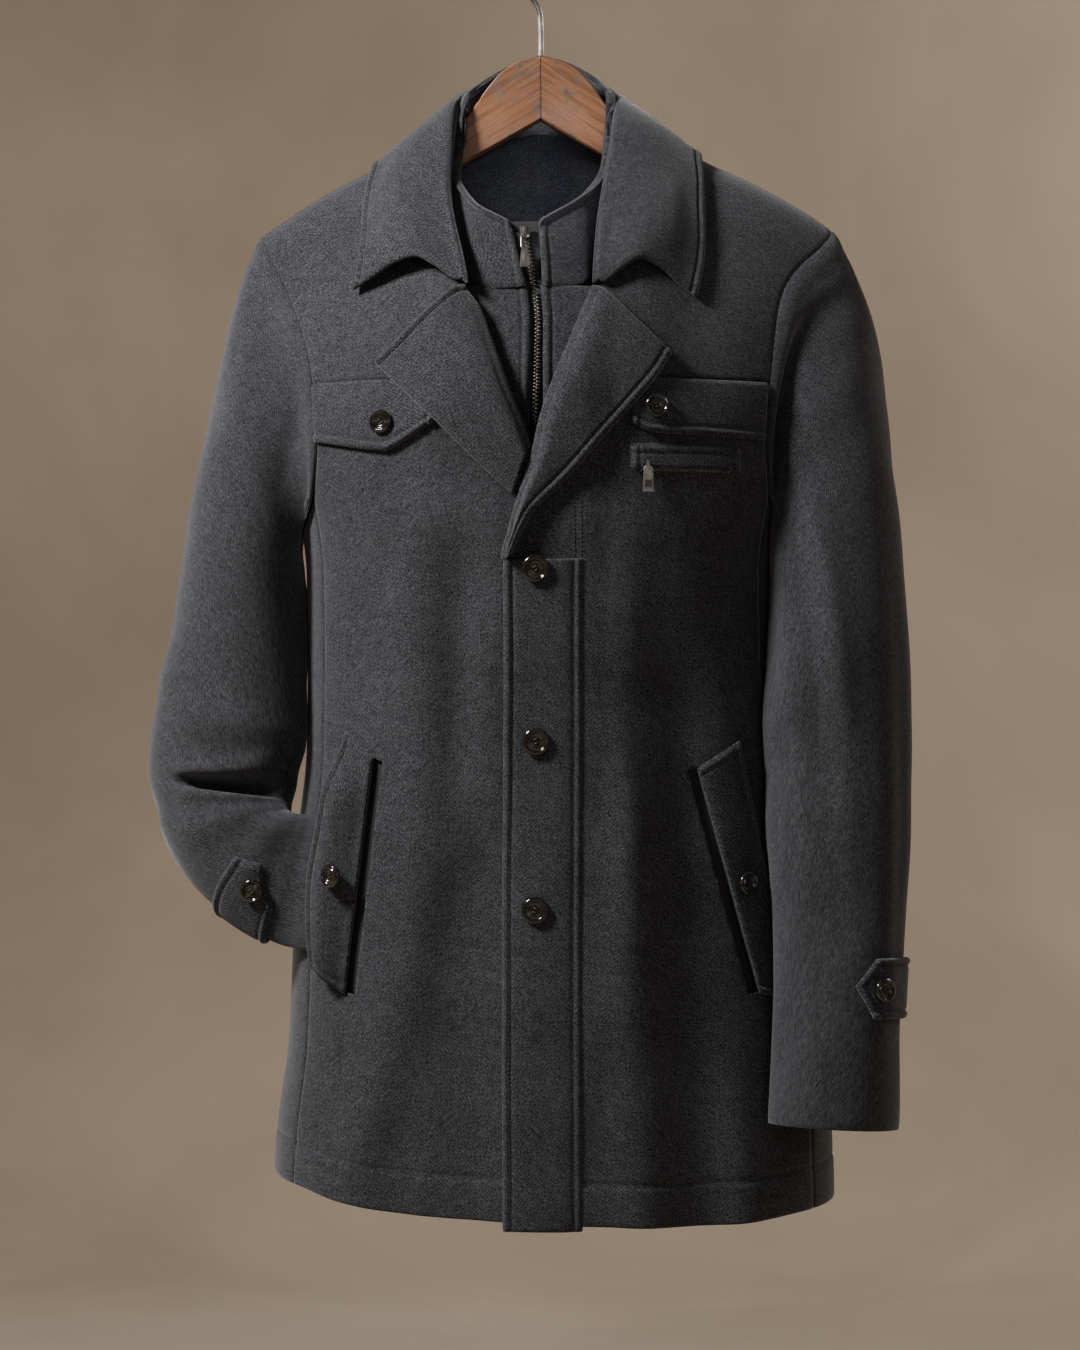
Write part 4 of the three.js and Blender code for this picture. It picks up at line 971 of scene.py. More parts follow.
def yokeShape(side):
    way = wayOf[side]
    base = yokeSeam + seam / 2
    tipX = way * (shoulderTip[side] - seam)

    def low(u):
        return lerp(rollX(base, side), armholeX(base, way, "front"), u), base + 0 * u

    def high(u):
        x = lerp(way * neckX, tipX, u)
        return x, shoulderZ(x)

    def start(v):
        z = lerp(base, shoulderZ(way * neckX), v)
        return lerp(rollX(z, side), way * neckX, v**8), z

    def end(v):
        z = lerp(base, shoulderZ(tipX), v)
        return lerp(armholeX(z, way, "front"), tipX, v**8), z
    return patch(low, high, start, end)


def yokePoint(side):
    shape = yokeShape(side)

    def point(u, v, lift):
        p = frontPoint(side, shape(u, crowded(v)), lift)
        p[..., 1] = np.minimum(p[..., 1], -seam)
        return p
    return point


def sidePoint(side):
    def point(u, v, lift):
        turn = lerp(seamTurn + seamSlack, 180 - seamTurn - seamSlack, u) * wayOf[side]
        share = ((np.abs(turn) - 90) / (90 - seamTurn)) ** 2
        top = lerp(underarm["low"], underarm["corner"], share)
        return onSide(turn, lerp(hemZ(turn), top, v), lift)
    return point


def backPoint():
    share = cornerShare["back"]

    def tipX(way):
        return way * (shoulderTip["right" if way < 0 else "left"] - seam)

    def corner(way):
        return armholeX(hemZ(way * (180 - seamTurn)), way, "back")

    def low(u):
        x = lerp(corner(1), corner(-1), u)
        return x, hemZ(np.sign(x) * (180 - np.abs(turnOf(x, -985))))

    def high(u):
        x = lerp(tipX(1), tipX(-1), u)
        return x, shoulderZ(x) - napeDrop(x)

    def upper(v):
        return crowded(np.clip((v - share) / (1 - share), 0, 1))

    def side(way, u):
        def found(v):
            first = np.full(1, float(u))
            z = np.where(
                v < share,
                lerp(low(first)[1], underarm["corner"], v / share),
                lerp(underarm["corner"], high(first)[1], upper(v)),
            )
            x = armholeX(z, way, "back")
            return np.where(v < share, x, lerp(x, tipX(way), upper(v) ** 10)), z
        return found

    def rise(v):
        return np.where(v < share, 0.71 * v / share, 0.71 + 0.29 * upper(v))
    shape = patch(low, high, side(1, 0), side(-1, 1), rise)

    def point(u, v, lift):
        x, z = shape(u, v)
        p = facePoint(backY, x, z, lift)
        p[..., 1] = np.maximum(p[..., 1], seam)
        return p
    return point


pockets = {
    "right": {
        "slot": [[-128.5, -646], [-121.5, -648], [-143.5, -828], [-151, -826]],
        "inner": [[-151, -827], [-140.5, -737], [-129.5, -646]],
        "outer": [[-168.5, -806], [-170.5, -780], [-170, -741], [-162, -692.6], [-154, -645], [-150.5, -626]],
        "lifted": 13,
    },
    "left": {
        "slot": [[119.5, -653], [112.5, -655], [160, -828], [167.5, -826]],
        "inner": [[168.5, -827], [144, -738], [120.5, -653]],
        "outer": [[187, -832], [184, -780], [178, -748], [171, -728], [163, -687], [152, -633]],
        "lifted": 0.6,
    },
}


def cutSlot(piece, outline, low=-200, high=0):
    # opens a straight slot through a panel, seen from the front
    corners = [(x / 1000, y / 1000, z / 1000) for y in (low, high) for x, z in outline]
    count = len(outline)
    mesh = bpy.data.meshes.new("slot")
    faces = [tuple(range(count)), tuple(range(2 * count - 1, count - 1, -1))]
    faces += [(i, (i + 1) % count, (i + 1) % count + count, i + count) for i in range(count)]
    mesh.from_pydata(corners, [], faces)
    faceOut(mesh)
    piece.data = cutAway(piece, putInScene("slot", mesh))


hungPanel = {"held": "hung", "bulge": 0.1}


def cutPanels(side):
    panel, grid = laidCloth(
        f"frontPanel{side.title()}", [f"front_{side}"], frontSurface(side, frontShape(side)), 210, 66,
        {"end": "seam", "low": "hem", "high": "seam", "start": "plain"}, grain=2 * wayOf[side],
        rests=[f"yoke_{side}"], **hungPanel,
    )
    cutSlot(panel, pockets[side]["slot"])
    sew(grid, "low", hemDeep, (3, 3))
    laidCloth(
        f"frontYoke{side.title()}", [f"yoke_{side}"], yokePoint(side), 76, 66,
        {"end": "seam", "low": "seam", "start": "plain"}, ease=(0.2, 0.4), rests=["hanger_wood"],
        **hungPanel,
    )
    _, grid = laidCloth(
        f"sidePanel{side.title()}", [f"side_panel_{side}"], sidePoint(side), 150, 26,
        {"start": "seam", "end": "seam", "low": "hem", "high": "seam"},
        rests=[f"front_{side}", "back"], **hungPanel,
    )
    sew(grid, "low", hemDeep, (2, 2), lambda points: np.array([wayOf[side], 0, 0]))


for side in sides:
    cutPanels(side)
_, grid = laidCloth(
    "backPanel", ["back"], backPoint(), 190, 130, {"start": "seam", "end": "seam", "low": "hem"},
    ease=(0.2, 0.5), rests=["hanger_wood"], **hungPanel,
)
sew(grid, "low", hemDeep, (3, 3), lambda points: np.array([0, 1, 0]))
print("panels cut")

# pockets, flaps, placket and lapels
weltLift = {"base": 3.5, "across": 0.7, "down": 0.3}
facingSet = {"deep": 1.1, "thick": 1.2, "past": 0.7}


def sewWelt(side):
    inner, outer, slot, lifted = (pockets[side][key] for key in ("inner", "outer", "slot", "lifted"))
    shape = patch(line(inner[0], outer[0]), line(inner[-1], outer[-1]), edge(inner), edge(outer))

    def lift(u, v):
        raised = lifted * smooth(u / weltLift["across"]) * smooth((1 - v) / weltLift["down"])
        return weltLift["base"] + raised
    _, grid = laidCloth(
        f"handWelt{side.title()}", [f"hand_welt_{side}"], frontSurface(side, shape), 90, 26,
        {"start": "plain", "end": "bead", "low": "bead", "high": "topstitch"}, doubled,
        ease=(0.6, 0.4), bulge=0.7, lift=lift, rests=[f"front_{side}"], grain=12 * wayOf[side],
    )
    sew(grid, "end", ends=(8, 4))
    sew(grid, "low", ends=(4, 6))
    a, b, c, d = (np.array(p, float)[:, None, None] for p in slot)

    def facing(u, v, lift):
        across = lerp(-facingSet["past"], 1 + facingSet["past"], u)
        return frontPoint(side, lerp(lerp(d, a, v), lerp(c, b, v), across), lift)
    # the facing under each slot is real cloth; its near-black paint is painted shade for the slot's dark gap
    laidCloth(
        f"pocketFacing{side.title()}", [f"pocket_facing_{side}"], facing, 40, 8, {}, facingSet["thick"],
        lift=lambda u, v: -cloth - facingSet["deep"] + 0 * u, paint="pocket", rests=[f"front_{side}"],
    )


for side in sides:
    sewWelt(side)

flaps = {
    "right": {"inner": -80, "outer": -177, "low": [[-81, -389], [-117, -410], [-173.6, -401]]},
    "left": {"inner": 68, "outer": 175, "low": [[69, -389.5], [81, -396.5], [123, -398.5], [171, -400]]},
}
flapSet = {"below": 1.2, "crisp": 0.55, "lift": 3.4, "spring": 1.1}


def sewFlap(side):
    inner, outer, low = (flaps[side][key] for key in ("inner", "outer", "low"))
    top = yokeSeam - flapSet["below"]
    corners = np.array(low, float)
    run = lengths(corners, 0)
    run = run / run[-1]
    soft = edge(low)

    def lowEdge(t):
        crisp = [np.interp(t, run, corners[:, k]) for k in (0, 1)]
        return tuple(lerp(q, p, flapSet["crisp"]) for p, q in zip(crisp, soft(t)))
    shape = patch(
        lowEdge, line([inner, top], [outer, top]), line(low[0], [inner, top]), line(low[-1], [outer, top])
    )
    _, grid = laidCloth(
        f"chestFlap{side.title()}", [f"chest_flap_{side}"], frontSurface(side, shape), 30, 64,
        {"start": "bead", "low": "bead", "high": "seam", "end": "seam"}, doubled, ease=(0.5, 0.4),
        lift=lambda u, v: flapSet["lift"] + flapSet["spring"] * (1 - v) ** 2, bulge=0.8,
        rests=[f"front_{side}"],
    )
    sew(grid, "low", ends=(6, 2))
    sew(grid, "start", ends=(6, 2))


for side in sides:
    sewFlap(side)


def placketPoint(u, v, lift):
    x = lerp(placket["right"], placket["left"], u)
    z = lerp(placket["bottom"], placket["top"], v)
    return onFront(x, z, lift)


_, grid = laidCloth(
    "placketBand", ["placket"], placketPoint, 190, 34, {"start": "bead", "end": "bead", "low": "plain"},
    doubled, ease=(0.2, 0.55), bulge=0.9, rests=["front_left"],
    lift=lambda u, v: placket["lift"] - 2.2 * smooth((u - 0.62) / 0.38) ** 2,
)
sew(grid, "start", ends=(2, 2))
sew(grid, "end", ends=(2, 2))
for inset in (stitchInset, 1):  # its lines run on up to the lapel
    spot = (np.full(60, placket["left"] - inset), np.linspace(placket["top"] + 2, -424, 60))
    on = frontPoint("left", spot, np.full(60, 0.1))
    seams.append((on, unit(frontPoint("left", spot, np.full(60, 1.1)) - on)))

lapels = {
    "right": {
        "low": -408, "high": -282,
        "outer": [[-22, -444], [-57, -410], [-79, -388], [-113, -355], [-125, -342]],
    },
    "left": {
        "low": -492, "high": -285,
        "outer": [[-22, -488], [-8, -460], [14.4, -437], [45, -403], [75, -368.5], [87, -353], [96.7, -337]],
    },
}
lapelColumns = table("u share lift", [
    [0, 0, 2], [0.2, 0.08, 7], [0.4, 0.25, 9.4], [0.6, 0.5, 8.8], [0.8, 0.78, 7.6], [1, 1, 7.2],
])


def sewLapel(side):
    way = wayOf[side]
    low, high = lapels[side]["low"], lapels[side]["high"]
    closer = 1.5 if side == "right" else 0

    def fold(v):
        z = lerp(low, high, v)
        return rollX(z, side) - closer * (1 - v), z
    nothing = line([0, 0], [0, 0])
    shape = patch(nothing, nothing, fold, edge(lapels[side]["outer"]))

    def point(u, v, lift):
        x, z = shape(along(lapelColumns, "u", u, "share"), v)
        over = lerp(-2.8, 0.4, smooth(u / 0.12)) * way
        return frontPoint(side, (x + over, z), along(lapelColumns, "u", u, "lift") + lift)
    _, grid = laidCloth(
        f"lapel{side.title()}", [f"lapel_{side}"], point, 90, 52,
        {"end": "bead", "high": "bead", "start": "plain"}, doubled, ease=(0.45, 0.35), bulge=0.9,
        grain=-28 * way, rests=[f"front_{side}", f"yoke_{side}"], held="folded",
    )
    sew(grid, "end", ends=(3, 6))
    sew(grid, "high", ends=(8, 6))


for side in sides:
    sewLapel(side)
print("trims laid")


# collar
def backed(grid, thick):
    # the grid moved in by a thickness, and the way out at each of its points
    normal = unit(np.cross(np.gradient(grid, axis=1), np.gradient(grid, axis=0)))
    return grid - normal * thick, normal


# how the collar's turn stands off the coat and drops into the neck, in millimetres
collarTurn = {
    "off": 5.4, "shoulder": (4.5, 1.5), "shoulderOff": 5.6, "leafOff": 5, "leafStops": [25, 42, 62, 82, 100],
    "overArm": 13, "dropBehind": 30, "dropBefore": 5, "rows": 84, "columns": 84, "softened": 6,
}


def collarSection(at):
    side = "right" if at < 0 else "left"
    flip = np.array([wayOf[side], 1, 1])
    found = [
        np.array([float(along(collarRows[side], "at", abs(at), part + axis)) for axis in "XYZ"]) * flip
        for part in ("roll", "mid", "edge")
    ]
    roll, mid, rim = clearCoat(found[0], collarTurn["off"]), found[1], found[2]
    away = unit((mid - roll) * np.array([1, 1, 0]))
    fall = lerp(collarTurn["dropBehind"], collarTurn["dropBefore"], float(smooth(abs(at) / 100)))
    drop = min(collarTurn["overArm"] + max(0, abs(roll[1]) - 10) * 2, fall)

    def fromRoll(out, down):
        return roll + away * out + np.array([0, 0, -down])
    shoulder = clearCoat(fromRoll(*collarTurn["shoulder"]), collarTurn["shoulderOff"])
    leaf = curvePoints([roll, shoulder, mid, rim], 101)[collarTurn["leafStops"]]
    inside = [fromRoll(-5, drop), fromRoll(-4, drop / 2), fromRoll(-3, 3.5)]
    return curvePoints([*inside, roll, shoulder, *clearCoat(leaf, collarTurn["leafOff"])], collarTurn["rows"])


def soften(grid, passes):
    # evens out the small steps that clearing the coat leaves along the collar
    for _ in range(passes):
        grid = grid.copy()
        grid[:, 1:-1] = grid[:, 1:-1] * 0.5 + (grid[:, :-2] + grid[:, 2:]) * 0.25
    return grid


beaded = {"high": "bead", "start": "bead", "end": "bead"}
stops = eased(collarTurn["columns"], 0) * 100
sections = [collarSection(at) for at in np.concatenate([-stops[::-1][:-1], stops])]
collarBase = soften(np.stack(sections, 1), collarTurn["softened"])
collarInner, out = backed(collarBase, doubled)
collarOuter = collarBase + out * relief(reach(collarBase), beaded)[..., None]
collar = shell("collarLeaf", collarOuter, collarInner, "wool", bulge=0.9, grain=90)
declare(collar, collarOuter, ["collar"], rests=["yoke_right", "yoke_left", "back"], held="folded")
neckMiddle = np.array([0, 10, -260])
for edgeName, ends in (("high", (5, 5)), ("start", (16, 6)), ("end", (16, 6))):
    sew(collarOuter, edgeName, 6.4, ends, lambda points: points - neckMiddle)

stand = {"rows": 58, "columns": 230, "outerRoll": 0.6, "innerRoll": 0.75}
standFlare = table("at out", [
    [0, 0], [0.06, 3], [0.19, 6], [0.27, 5], [0.33, 2], [0.42, 0], [0.58, 0], [0.68, 2], [0.8, 3],
    [0.92, 1], [1, 0],
])
standSag = table("at down", [
    [0, 0], [0.07, 5], [0.17, 6], [0.27, 0], [0.73, 0], [0.83, 6], [0.93, 5], [1, 0],
])
level = np.array([1, 1, 0])
u, v = gridOf(stand["rows"], stand["columns"], (0.4, 0.15))
rim, base = (
    np.stack([along(standRows, "at", u, part + axis) for axis in "XYZ"], -1) for part in ("rim", "base")
)
# the rim leans out against the collar, most at the wearer's right, and is rolled over
flare = np.interp(u, standFlare["at"], standFlare["out"])
base[..., 2] -= np.interp(u, standSag["at"], standSag["down"])
outward = unit((base + rim) / 2 * level)
standInner = (base + (rim - base) * v[..., None] + outward * (flare * v**1.6)[..., None])[:, ::-1]
_, out = backed(standInner, cloth)
away = reach(standInner)
roll = 3.3 * bell((away["high"] - 3) / 3) - 1.5 * bell((away["high"] - 7.6) / 1.5)
height = relief(away, {**beaded, "low": "seam"})
standOuter = standInner + out * (cloth + roll * stand["outerRoll"] + height)[..., None]
standInner = standInner - out * (roll * stand["innerRoll"])[..., None]
standPiece = shell("standCollar", standOuter, standInner, "innerWool", bulge=1.0, grain=90)
declare(
    standPiece, standOuter, ["stand_collar"], "innerWool", ["bib_right", "bib_left", "back"], "stretched"
)
for edgeName, ends in (("high", (4, 4)), ("start", (2, 6)), ("end", (2, 6))):
    sew(standOuter, edgeName, 6.3, ends, lambda points: points * level)
print("collar turned")


# bib and zip
def zipX(z, column):
    return along(zipRows, "z", z, column)


def sewBib(side):
    way = wayOf[side]

    def bibPoint(u, v, lift):
        z = lerp(-470, bibTop[side], v)
        inner = zipX(z, "x") + way * zipX(z, "gap")
        return onFront(lerp(inner, rollX(z, side) + way * 24, u), z, lift - bibSet)
    _, grid = laidCloth(
        f"bib{side.title()}", [f"bib_{side}"], bibPoint, 70, 40, {"start": "bead", "high": "seam"},
        ease=(0.3, 0.3), bulge=0.8, paint="innerWool", rests=["stand_collar"],
    )
    sew(grid, "start", ends=(2, 2))


for side in sides:
    sewBib(side)

zipUpper = {"bend": -283, "deep": -96.6, "near": -78, "run": 53, "out": np.array([0, -0.93, -0.36])}


def zipPoint(z, across, lift):
    # along the bib, and above its bend along the leaning front of the stand collar
    bend = zipUpper["bend"]
    x = zipX(z, "x") + across
    low = onFront(x, z, lift - bibSet)
    high = stack(x, lerp(zipUpper["deep"], zipUpper["near"], (z - bend) / zipUpper["run"]), z)
    high = high + zipUpper["out"] * np.asarray(lift, float)[..., None]
    return np.where((z < bend)[..., None], low, high)


def tapePoint(u, v, lift):
    bend = zipUpper["bend"]
    z = np.where(v < 0.6, lerp(-466, bend, v / 0.6), lerp(bend, -232, (v - 0.6) / 0.4))
    half = zipX(z, "gap") + 2
    return zipPoint(z, lerp(-half, half, u), lift - cloth - 1.5)


laidCloth(
    "zipTape", ["zip_tape"], tapePoint, 90, 12, {}, 1.0, ease=(0, 0), paint="tape",
    rests=["bib_right", "bib_left"],
)


def boxes(name, places, size, paint, nodes):
    # many small rounded blocks: places are (point, across, up, out)
    half = np.array(size) / 2
    ring = []
    for k in range(8):
        angle = math.radians(45 * k + 22.5)
        ring.append([math.copysign(abs(c) ** 0.5, c) for c in (math.cos(angle), math.sin(angle))])
    caps = ([0, 1, 2, 3], [0, 3, 4, 7], [7, 4, 5, 6])
    points, quads = [], []
    for centre, across, up, out in places:
        start = len(points)
        for level, share in ((-1, 0.8), (-0.7, 1), (0.7, 1), (1, 0.8)):
            wide, tall = across * half[0] * share, up * half[1] * share
            points += [centre + wide * a + tall * b + out * level * half[2] for a, b in ring]
        for low in (start, start + 8, start + 16):
            beside = [(k, (k + 1) % 8) for k in range(8)]
            quads += [[low + k, low + n, low + 8 + n, low + 8 + k] for k, n in beside]
        quads += [[start + k for k in four[::-1]] for four in caps]
        quads += [[start + 24 + k for k in four] for four in caps]
    piece = makeMesh(name, np.array(points), np.array(quads), np.zeros((len(quads), 4, 2)), paint)
    faceOut(piece.data)
    return seat(piece, paint, nodes=nodes)


zipTeeth = {"from": -464, "to": -243, "pitch": 1.5, "size": (3.3, 1.05, 1.7), "aside": 1.0, "lift": -1.9}
places = []
for k, z in enumerate(np.arange(zipTeeth["from"], zipTeeth["to"], zipTeeth["pitch"])):
    aside = zipTeeth["aside"] * (1 if k % 2 else -1)
    here, above = (zipPoint(np.array(z + step), aside, np.array(zipTeeth["lift"])) for step in (0, 1))
    up = unit(above - here)
    across = np.array([1.0, 0, 0])
    places.append((here, across, up, unit(np.cross(up, across))))
boxes("zipTeeth", places, zipTeeth["size"], "teeth", ["zip_chain"])
print("zip closed")

# sleeves
sleeveFolds = {
    "right": table("t turn long wide depth slant", [
        [7.0, 118, 0.5, 50, 5, -30], [9.6, 95, 0.5, 55, 4, 0],
        [4, 60, 2.4, 22, 3, 0], [6.1, 40, 0.35, 40, -2.2, 12], [6.7, 20, 0.3, 35, 1.8, 20],
        [8.9, 30, 0.25, 40, -2, 10], [2.2, 70, 1.4, 14, -2, 6], [1.6, 120, 1.0, 16, -2.4, 8],
        [2.4, 300, 1.6, 20, -2.4, 0], [5.6, 250, 1.4, 26, 2.4, 8], [7.8, 270, 0.4, 60, -3, 0],
        [11.4, 60, 0.5, 24, 1.6, 18], [12.6, 100, 0.4, 26, -1, 20],
    ]),
    "left": table("t turn long wide depth slant", [
        [7.2, 130, 0.55, 40, -5, 0], [6.2, 120, 0.6, 40, 3, 0], [8, 35, 3.2, 14, -4, 0],
        [9.4, 100, 0.7, 40, -3, 0], [1.8, 110, 1.2, 16, -2.2, 8], [3.4, 60, 2.0, 18, -1.8, 4],
        [5.2, 95, 1.2, 22, 1.6, -8], [10.6, 70, 0.8, 26, 1.4, 10], [3, 300, 1.8, 20, -2.4, 0],
        [6.6, 250, 0.5, 50, -3, 0], [9, 230, 1.6, 26, 2.2, 6],
        [5.2, 132, 2.8, 9, 3.2, -4], [5.2, 111, 2.8, 8, -3, -4], [5.2, 92, 2.8, 9, 2.6, -4],
    ]),
}
sleeves = {
    "right": {"rows": bentSleeve, "off": lambda z: lerp(2.5, 1, smooth((-600 - z) / 60))},
    "left": {"rows": straightSleeve, "off": lambda z: lerp(5, 5.4, smooth((-560 - z) / 60))},
}


# the bent elbow: the upper arm hangs over the forearm's top edge, with a hollow between them
crook = {"t": 8.46, "run": 0.6, "from": 62, "to": 178, "wide": 0.34, "wider": 1.75, "deep": 31, "lip": 3.5}


def crookDepth(t, turn):
    share = (turn - crook["from"]) / (crook["to"] - crook["from"])
    s = np.clip(share, 0, 1)
    past = t - (crook["t"] + crook["run"] * s)
    wide = crook["wide"] + crook["wider"] * s**2.2
    hollow = smooth((past + wide) / (0.72 * wide)) * smooth((0.075 - past) / 0.15)
    ends = smooth(share / 0.22) * smooth((1.35 - share) / 0.3)
    lip = crook["lip"] * bell((past - 0.16) / 0.16) + crook["lip"] * 1.4 * bell((past + wide * 1.1) / 0.3)
    return (lip - crook["deep"] * (0.5 + 0.5 * s) * hollow) * ends


def sleeveFrame(rows, t):
    outer = np.stack([along(rows, "t", t, f"out{axis}") for axis in "XYZ"], -1)
    inner = np.stack([along(rows, "t", t, f"in{axis}") for axis in "XYZ"], -1)
    axis = outer - inner
    return (outer + inner) / 2, np.linalg.norm(axis, axis=-1) / 2, unit(axis)


def sleevePoint(side, t, turn, lift):
    rows = sleeves[side]["rows"]
    t, turn = np.broadcast_arrays(np.asarray(t, float), np.asarray(turn, float))
    centre, half, axis = sleeveFrame(rows, t)
    ahead = sleeveFrame(rows, np.minimum(rows["t"][-1], t + 0.3))[0]
    behind = sleeveFrame(rows, np.maximum(0, t - 0.3))[0]
    depthWay = unit(np.cross(unit(ahead - behind), axis))
    depthWay = np.where(depthWay[..., 1:2] > 0, -depthWay, depthWay)
    c, s = np.cos(np.radians(turn)), np.sin(np.radians(turn))
    bump = 0
    folds = sleeveFolds[side]
    for at, angle, long, wide, deep, slant in zip(*folds.values()):
        around = (turn - angle - slant * (t - at) / long + 540) % 360 - 180
        bump = bump + deep * bell((t - at) / long) * bell(around / wide)
    flat = along(rows, "t", t, "flat")
    bump = bump + swell(55 * c, t * 50 + 40 * s) * 0.8
    bump = bump * (1 - 0.9 * smooth((flat - 0.5) / 0.4)) * smooth(t / 0.8)
    fold = crookDepth(t, turn % 360) * np.maximum(s, 0) if side == "right" else 0
    depth = np.where(s > 0, along(rows, "t", t, "front"), along(rows, "t", t, "back"))
    depth = depth + lift + bump * np.abs(s) + fold
    half = half + lift + bump * np.abs(c)
    straight = np.sign(c) * np.abs(c) ** lerp(1, 0.5, flat)
    across = (half - depth * flat) * straight + depth * flat * c
    return centre + axis * across[..., None] + depthWay * (depth * s)[..., None]


def armhole(side):
    # the ring of points that the sleeve's head is sewn to, at the panels' own edges; each stop is
    # a panel, a place on its edge, one beside it, and how far the head passes under the panel
    wall = backPoint()
    front = frontSurface(side, frontShape(side))
    column, beside = (0.0, 1 / 18) if side == "left" else (1.0, 17 / 18)
    stops = [(yokePoint(side), (1, i / 10), (0.9, i / 10), 0) for i in range(10, -1, -1)]
    stops += [(front, (1, i / 17), (11 / 12, i / 17), under) for i, under in ((16, 0), (15, 0.3), (14, 1))]
    stops += [(sidePoint(side), (j / 5, 1), (j / 5, 13 / 14), 1) for j in (1, 2, 3, 4)]
    stops += [(wall, (column, i / 20), (beside, i / 20), 1 if i == 11 else 0) for i in range(11, 20)]
    rings = {"outer": [], "inner": []}
    for point, at, near, under in stops:
        u, v = np.array([at[0], near[0]]), np.array([at[1], near[1]])
        outer, inner = point(u, v, 0 * u), point(u, v, 0 * u - cloth)
        run = unit(outer[0] - outer[1])
        normal = unit(outer[0] - inner[0])
        on = outer[0] + run * (seam + 0.3) * (1 - under) + normal * (seam + 1.5) * under
        on = on + np.array([0, 0, -1.6 * under])
        depth = normal * -cloth * (1 - under) + np.array([0, 0, cloth * under])
        rings["outer"].append(on)
        rings["inner"].append(on + unit(depth) * cloth)
    return {key: np.array(value) for key, value in rings.items()}


def roundRing(stops, q):
    # a smooth closed curve through the stops, at places q counted in stops
    n = len(stops)
    i = np.floor(q).astype(int)
    t = (q - i)[:, None]
    a, b, c, d = (stops[(i + k) % n] for k in (-1, 0, 1, 2))
    first, second = (c - a) / 2, (d - b) / 2
    on = b * (2 * t**3 - 3 * t**2 + 1) + c * (3 * t**2 - 2 * t**3)
    return on + first * (t**3 - 2 * t**2 + t) + second * (t**3 - t**2)


sleeveSizes = {"rows": 170, "each": 5, "bottom": 15.5, "crown": 1.6, "settled": 3.2}


def setSleeve(side):
    stops = armhole(side)
    count = len(stops["outer"])
    q = np.arange(count * sleeveSizes["each"]) / sleeveSizes["each"]
    bottom = sleeveSizes["bottom"]
    turns = np.where(q <= bottom, 180 * q / bottom, 180 + 180 * (q - bottom) / (count - bottom))
    t = (sleeves[side]["rows"]["t"][-1] * eased(sleeveSizes["rows"], 0.12))[:, None]
    pull = 1 - smooth(t / sleeveSizes["settled"])
    faces = {}
    for key, lift in (("outer", 0.0), ("inner", -cloth)):
        ring = roundRing(stops[key], q)
        gap = ring - sleevePoint(side, 0 * turns, turns, lift)
        p = sleevePoint(side, t, turns[None], lift) + gap[None] * pull[..., None]
        p = clearOf(p, sleeves[side]["off"](p[..., 2]) - lift)
        p[0] = ring
        faces[key] = p
    outer, inner = faces["outer"], faces["inner"]
    away = reach(outer)
    around = smooth((np.cos(np.radians(turns))[None] + 0.25) / 0.6)
    crown = sleeveSizes["crown"] * bell((away["low"] - 9) / 8) * around
    height = relief(away, {"low": "seam", "high": "plain"}) + crown
    outer = outer + unit(outer - inner) * height[..., None]
    sleeve = shell(f"sleeve{side.title()}", outer, inner, "wool", rings=True, bulge=0.5)
    declare(sleeve, outer, [f"sleeve_{side}"], rests=[f"yoke_{side}", f"front_{side}"], rings=True)


for side in sides:
    setSleeve(side)
print("sleeves set")

tabs = {
    "left": {
        "low": [[-60, 10.95], [66, 10.93]], "high": [[-60, 10.2], [66, 10.17]],
        "point": [[66, 10.93], [84, 10.52], [66, 10.17]], "button": [60, 10.58], "lift": 4.6,
    },
    "right": {
        "low": [[-30, 12.25], [76, 12.2]], "high": [[-30, 11.05], [90, 10.75]],
        "point": [[76, 12.2], [92, 11.45], [90, 10.75]], "button": [81, 11.55], "lift": 4.2,
    },
}


def sewTab(side):
    low, high, point = (np.array(tabs[side][key], float) for key in ("low", "high", "point"))

    def tip(t):
        return tuple(np.interp(t, [0, 0.5, 1], point[:, k]) for k in (0, 1))
    shape = patch(line(low[0], low[1]), line(high[0], high[1]), line(low[0], high[0]), tip)

    def onSleeve(u, v, lift):
        turn, t = shape(u, v)
        return sleevePoint(side, t, turn, lift + tabs[side]["lift"])
    _, grid = laidCloth(
        f"cuffTab{side.title()}", [f"cuff_tab_{side}"], onSleeve, 34, 60,
        {"low": "bead", "high": "bead", "end": "bead"}, doubled, ease=(0.3, 0.3), bulge=0.9,
        rests=[f"sleeve_{side}"], grain=90,
    )
    for edgeName in ("low", "high", "end"):
        sew(grid, edgeName, 6.0, (4, 6))


for side in sides:
    sewTab(side)


# buttons
drilled = {"off": 0.2, "radius": 0.088, "thread": 0.142}


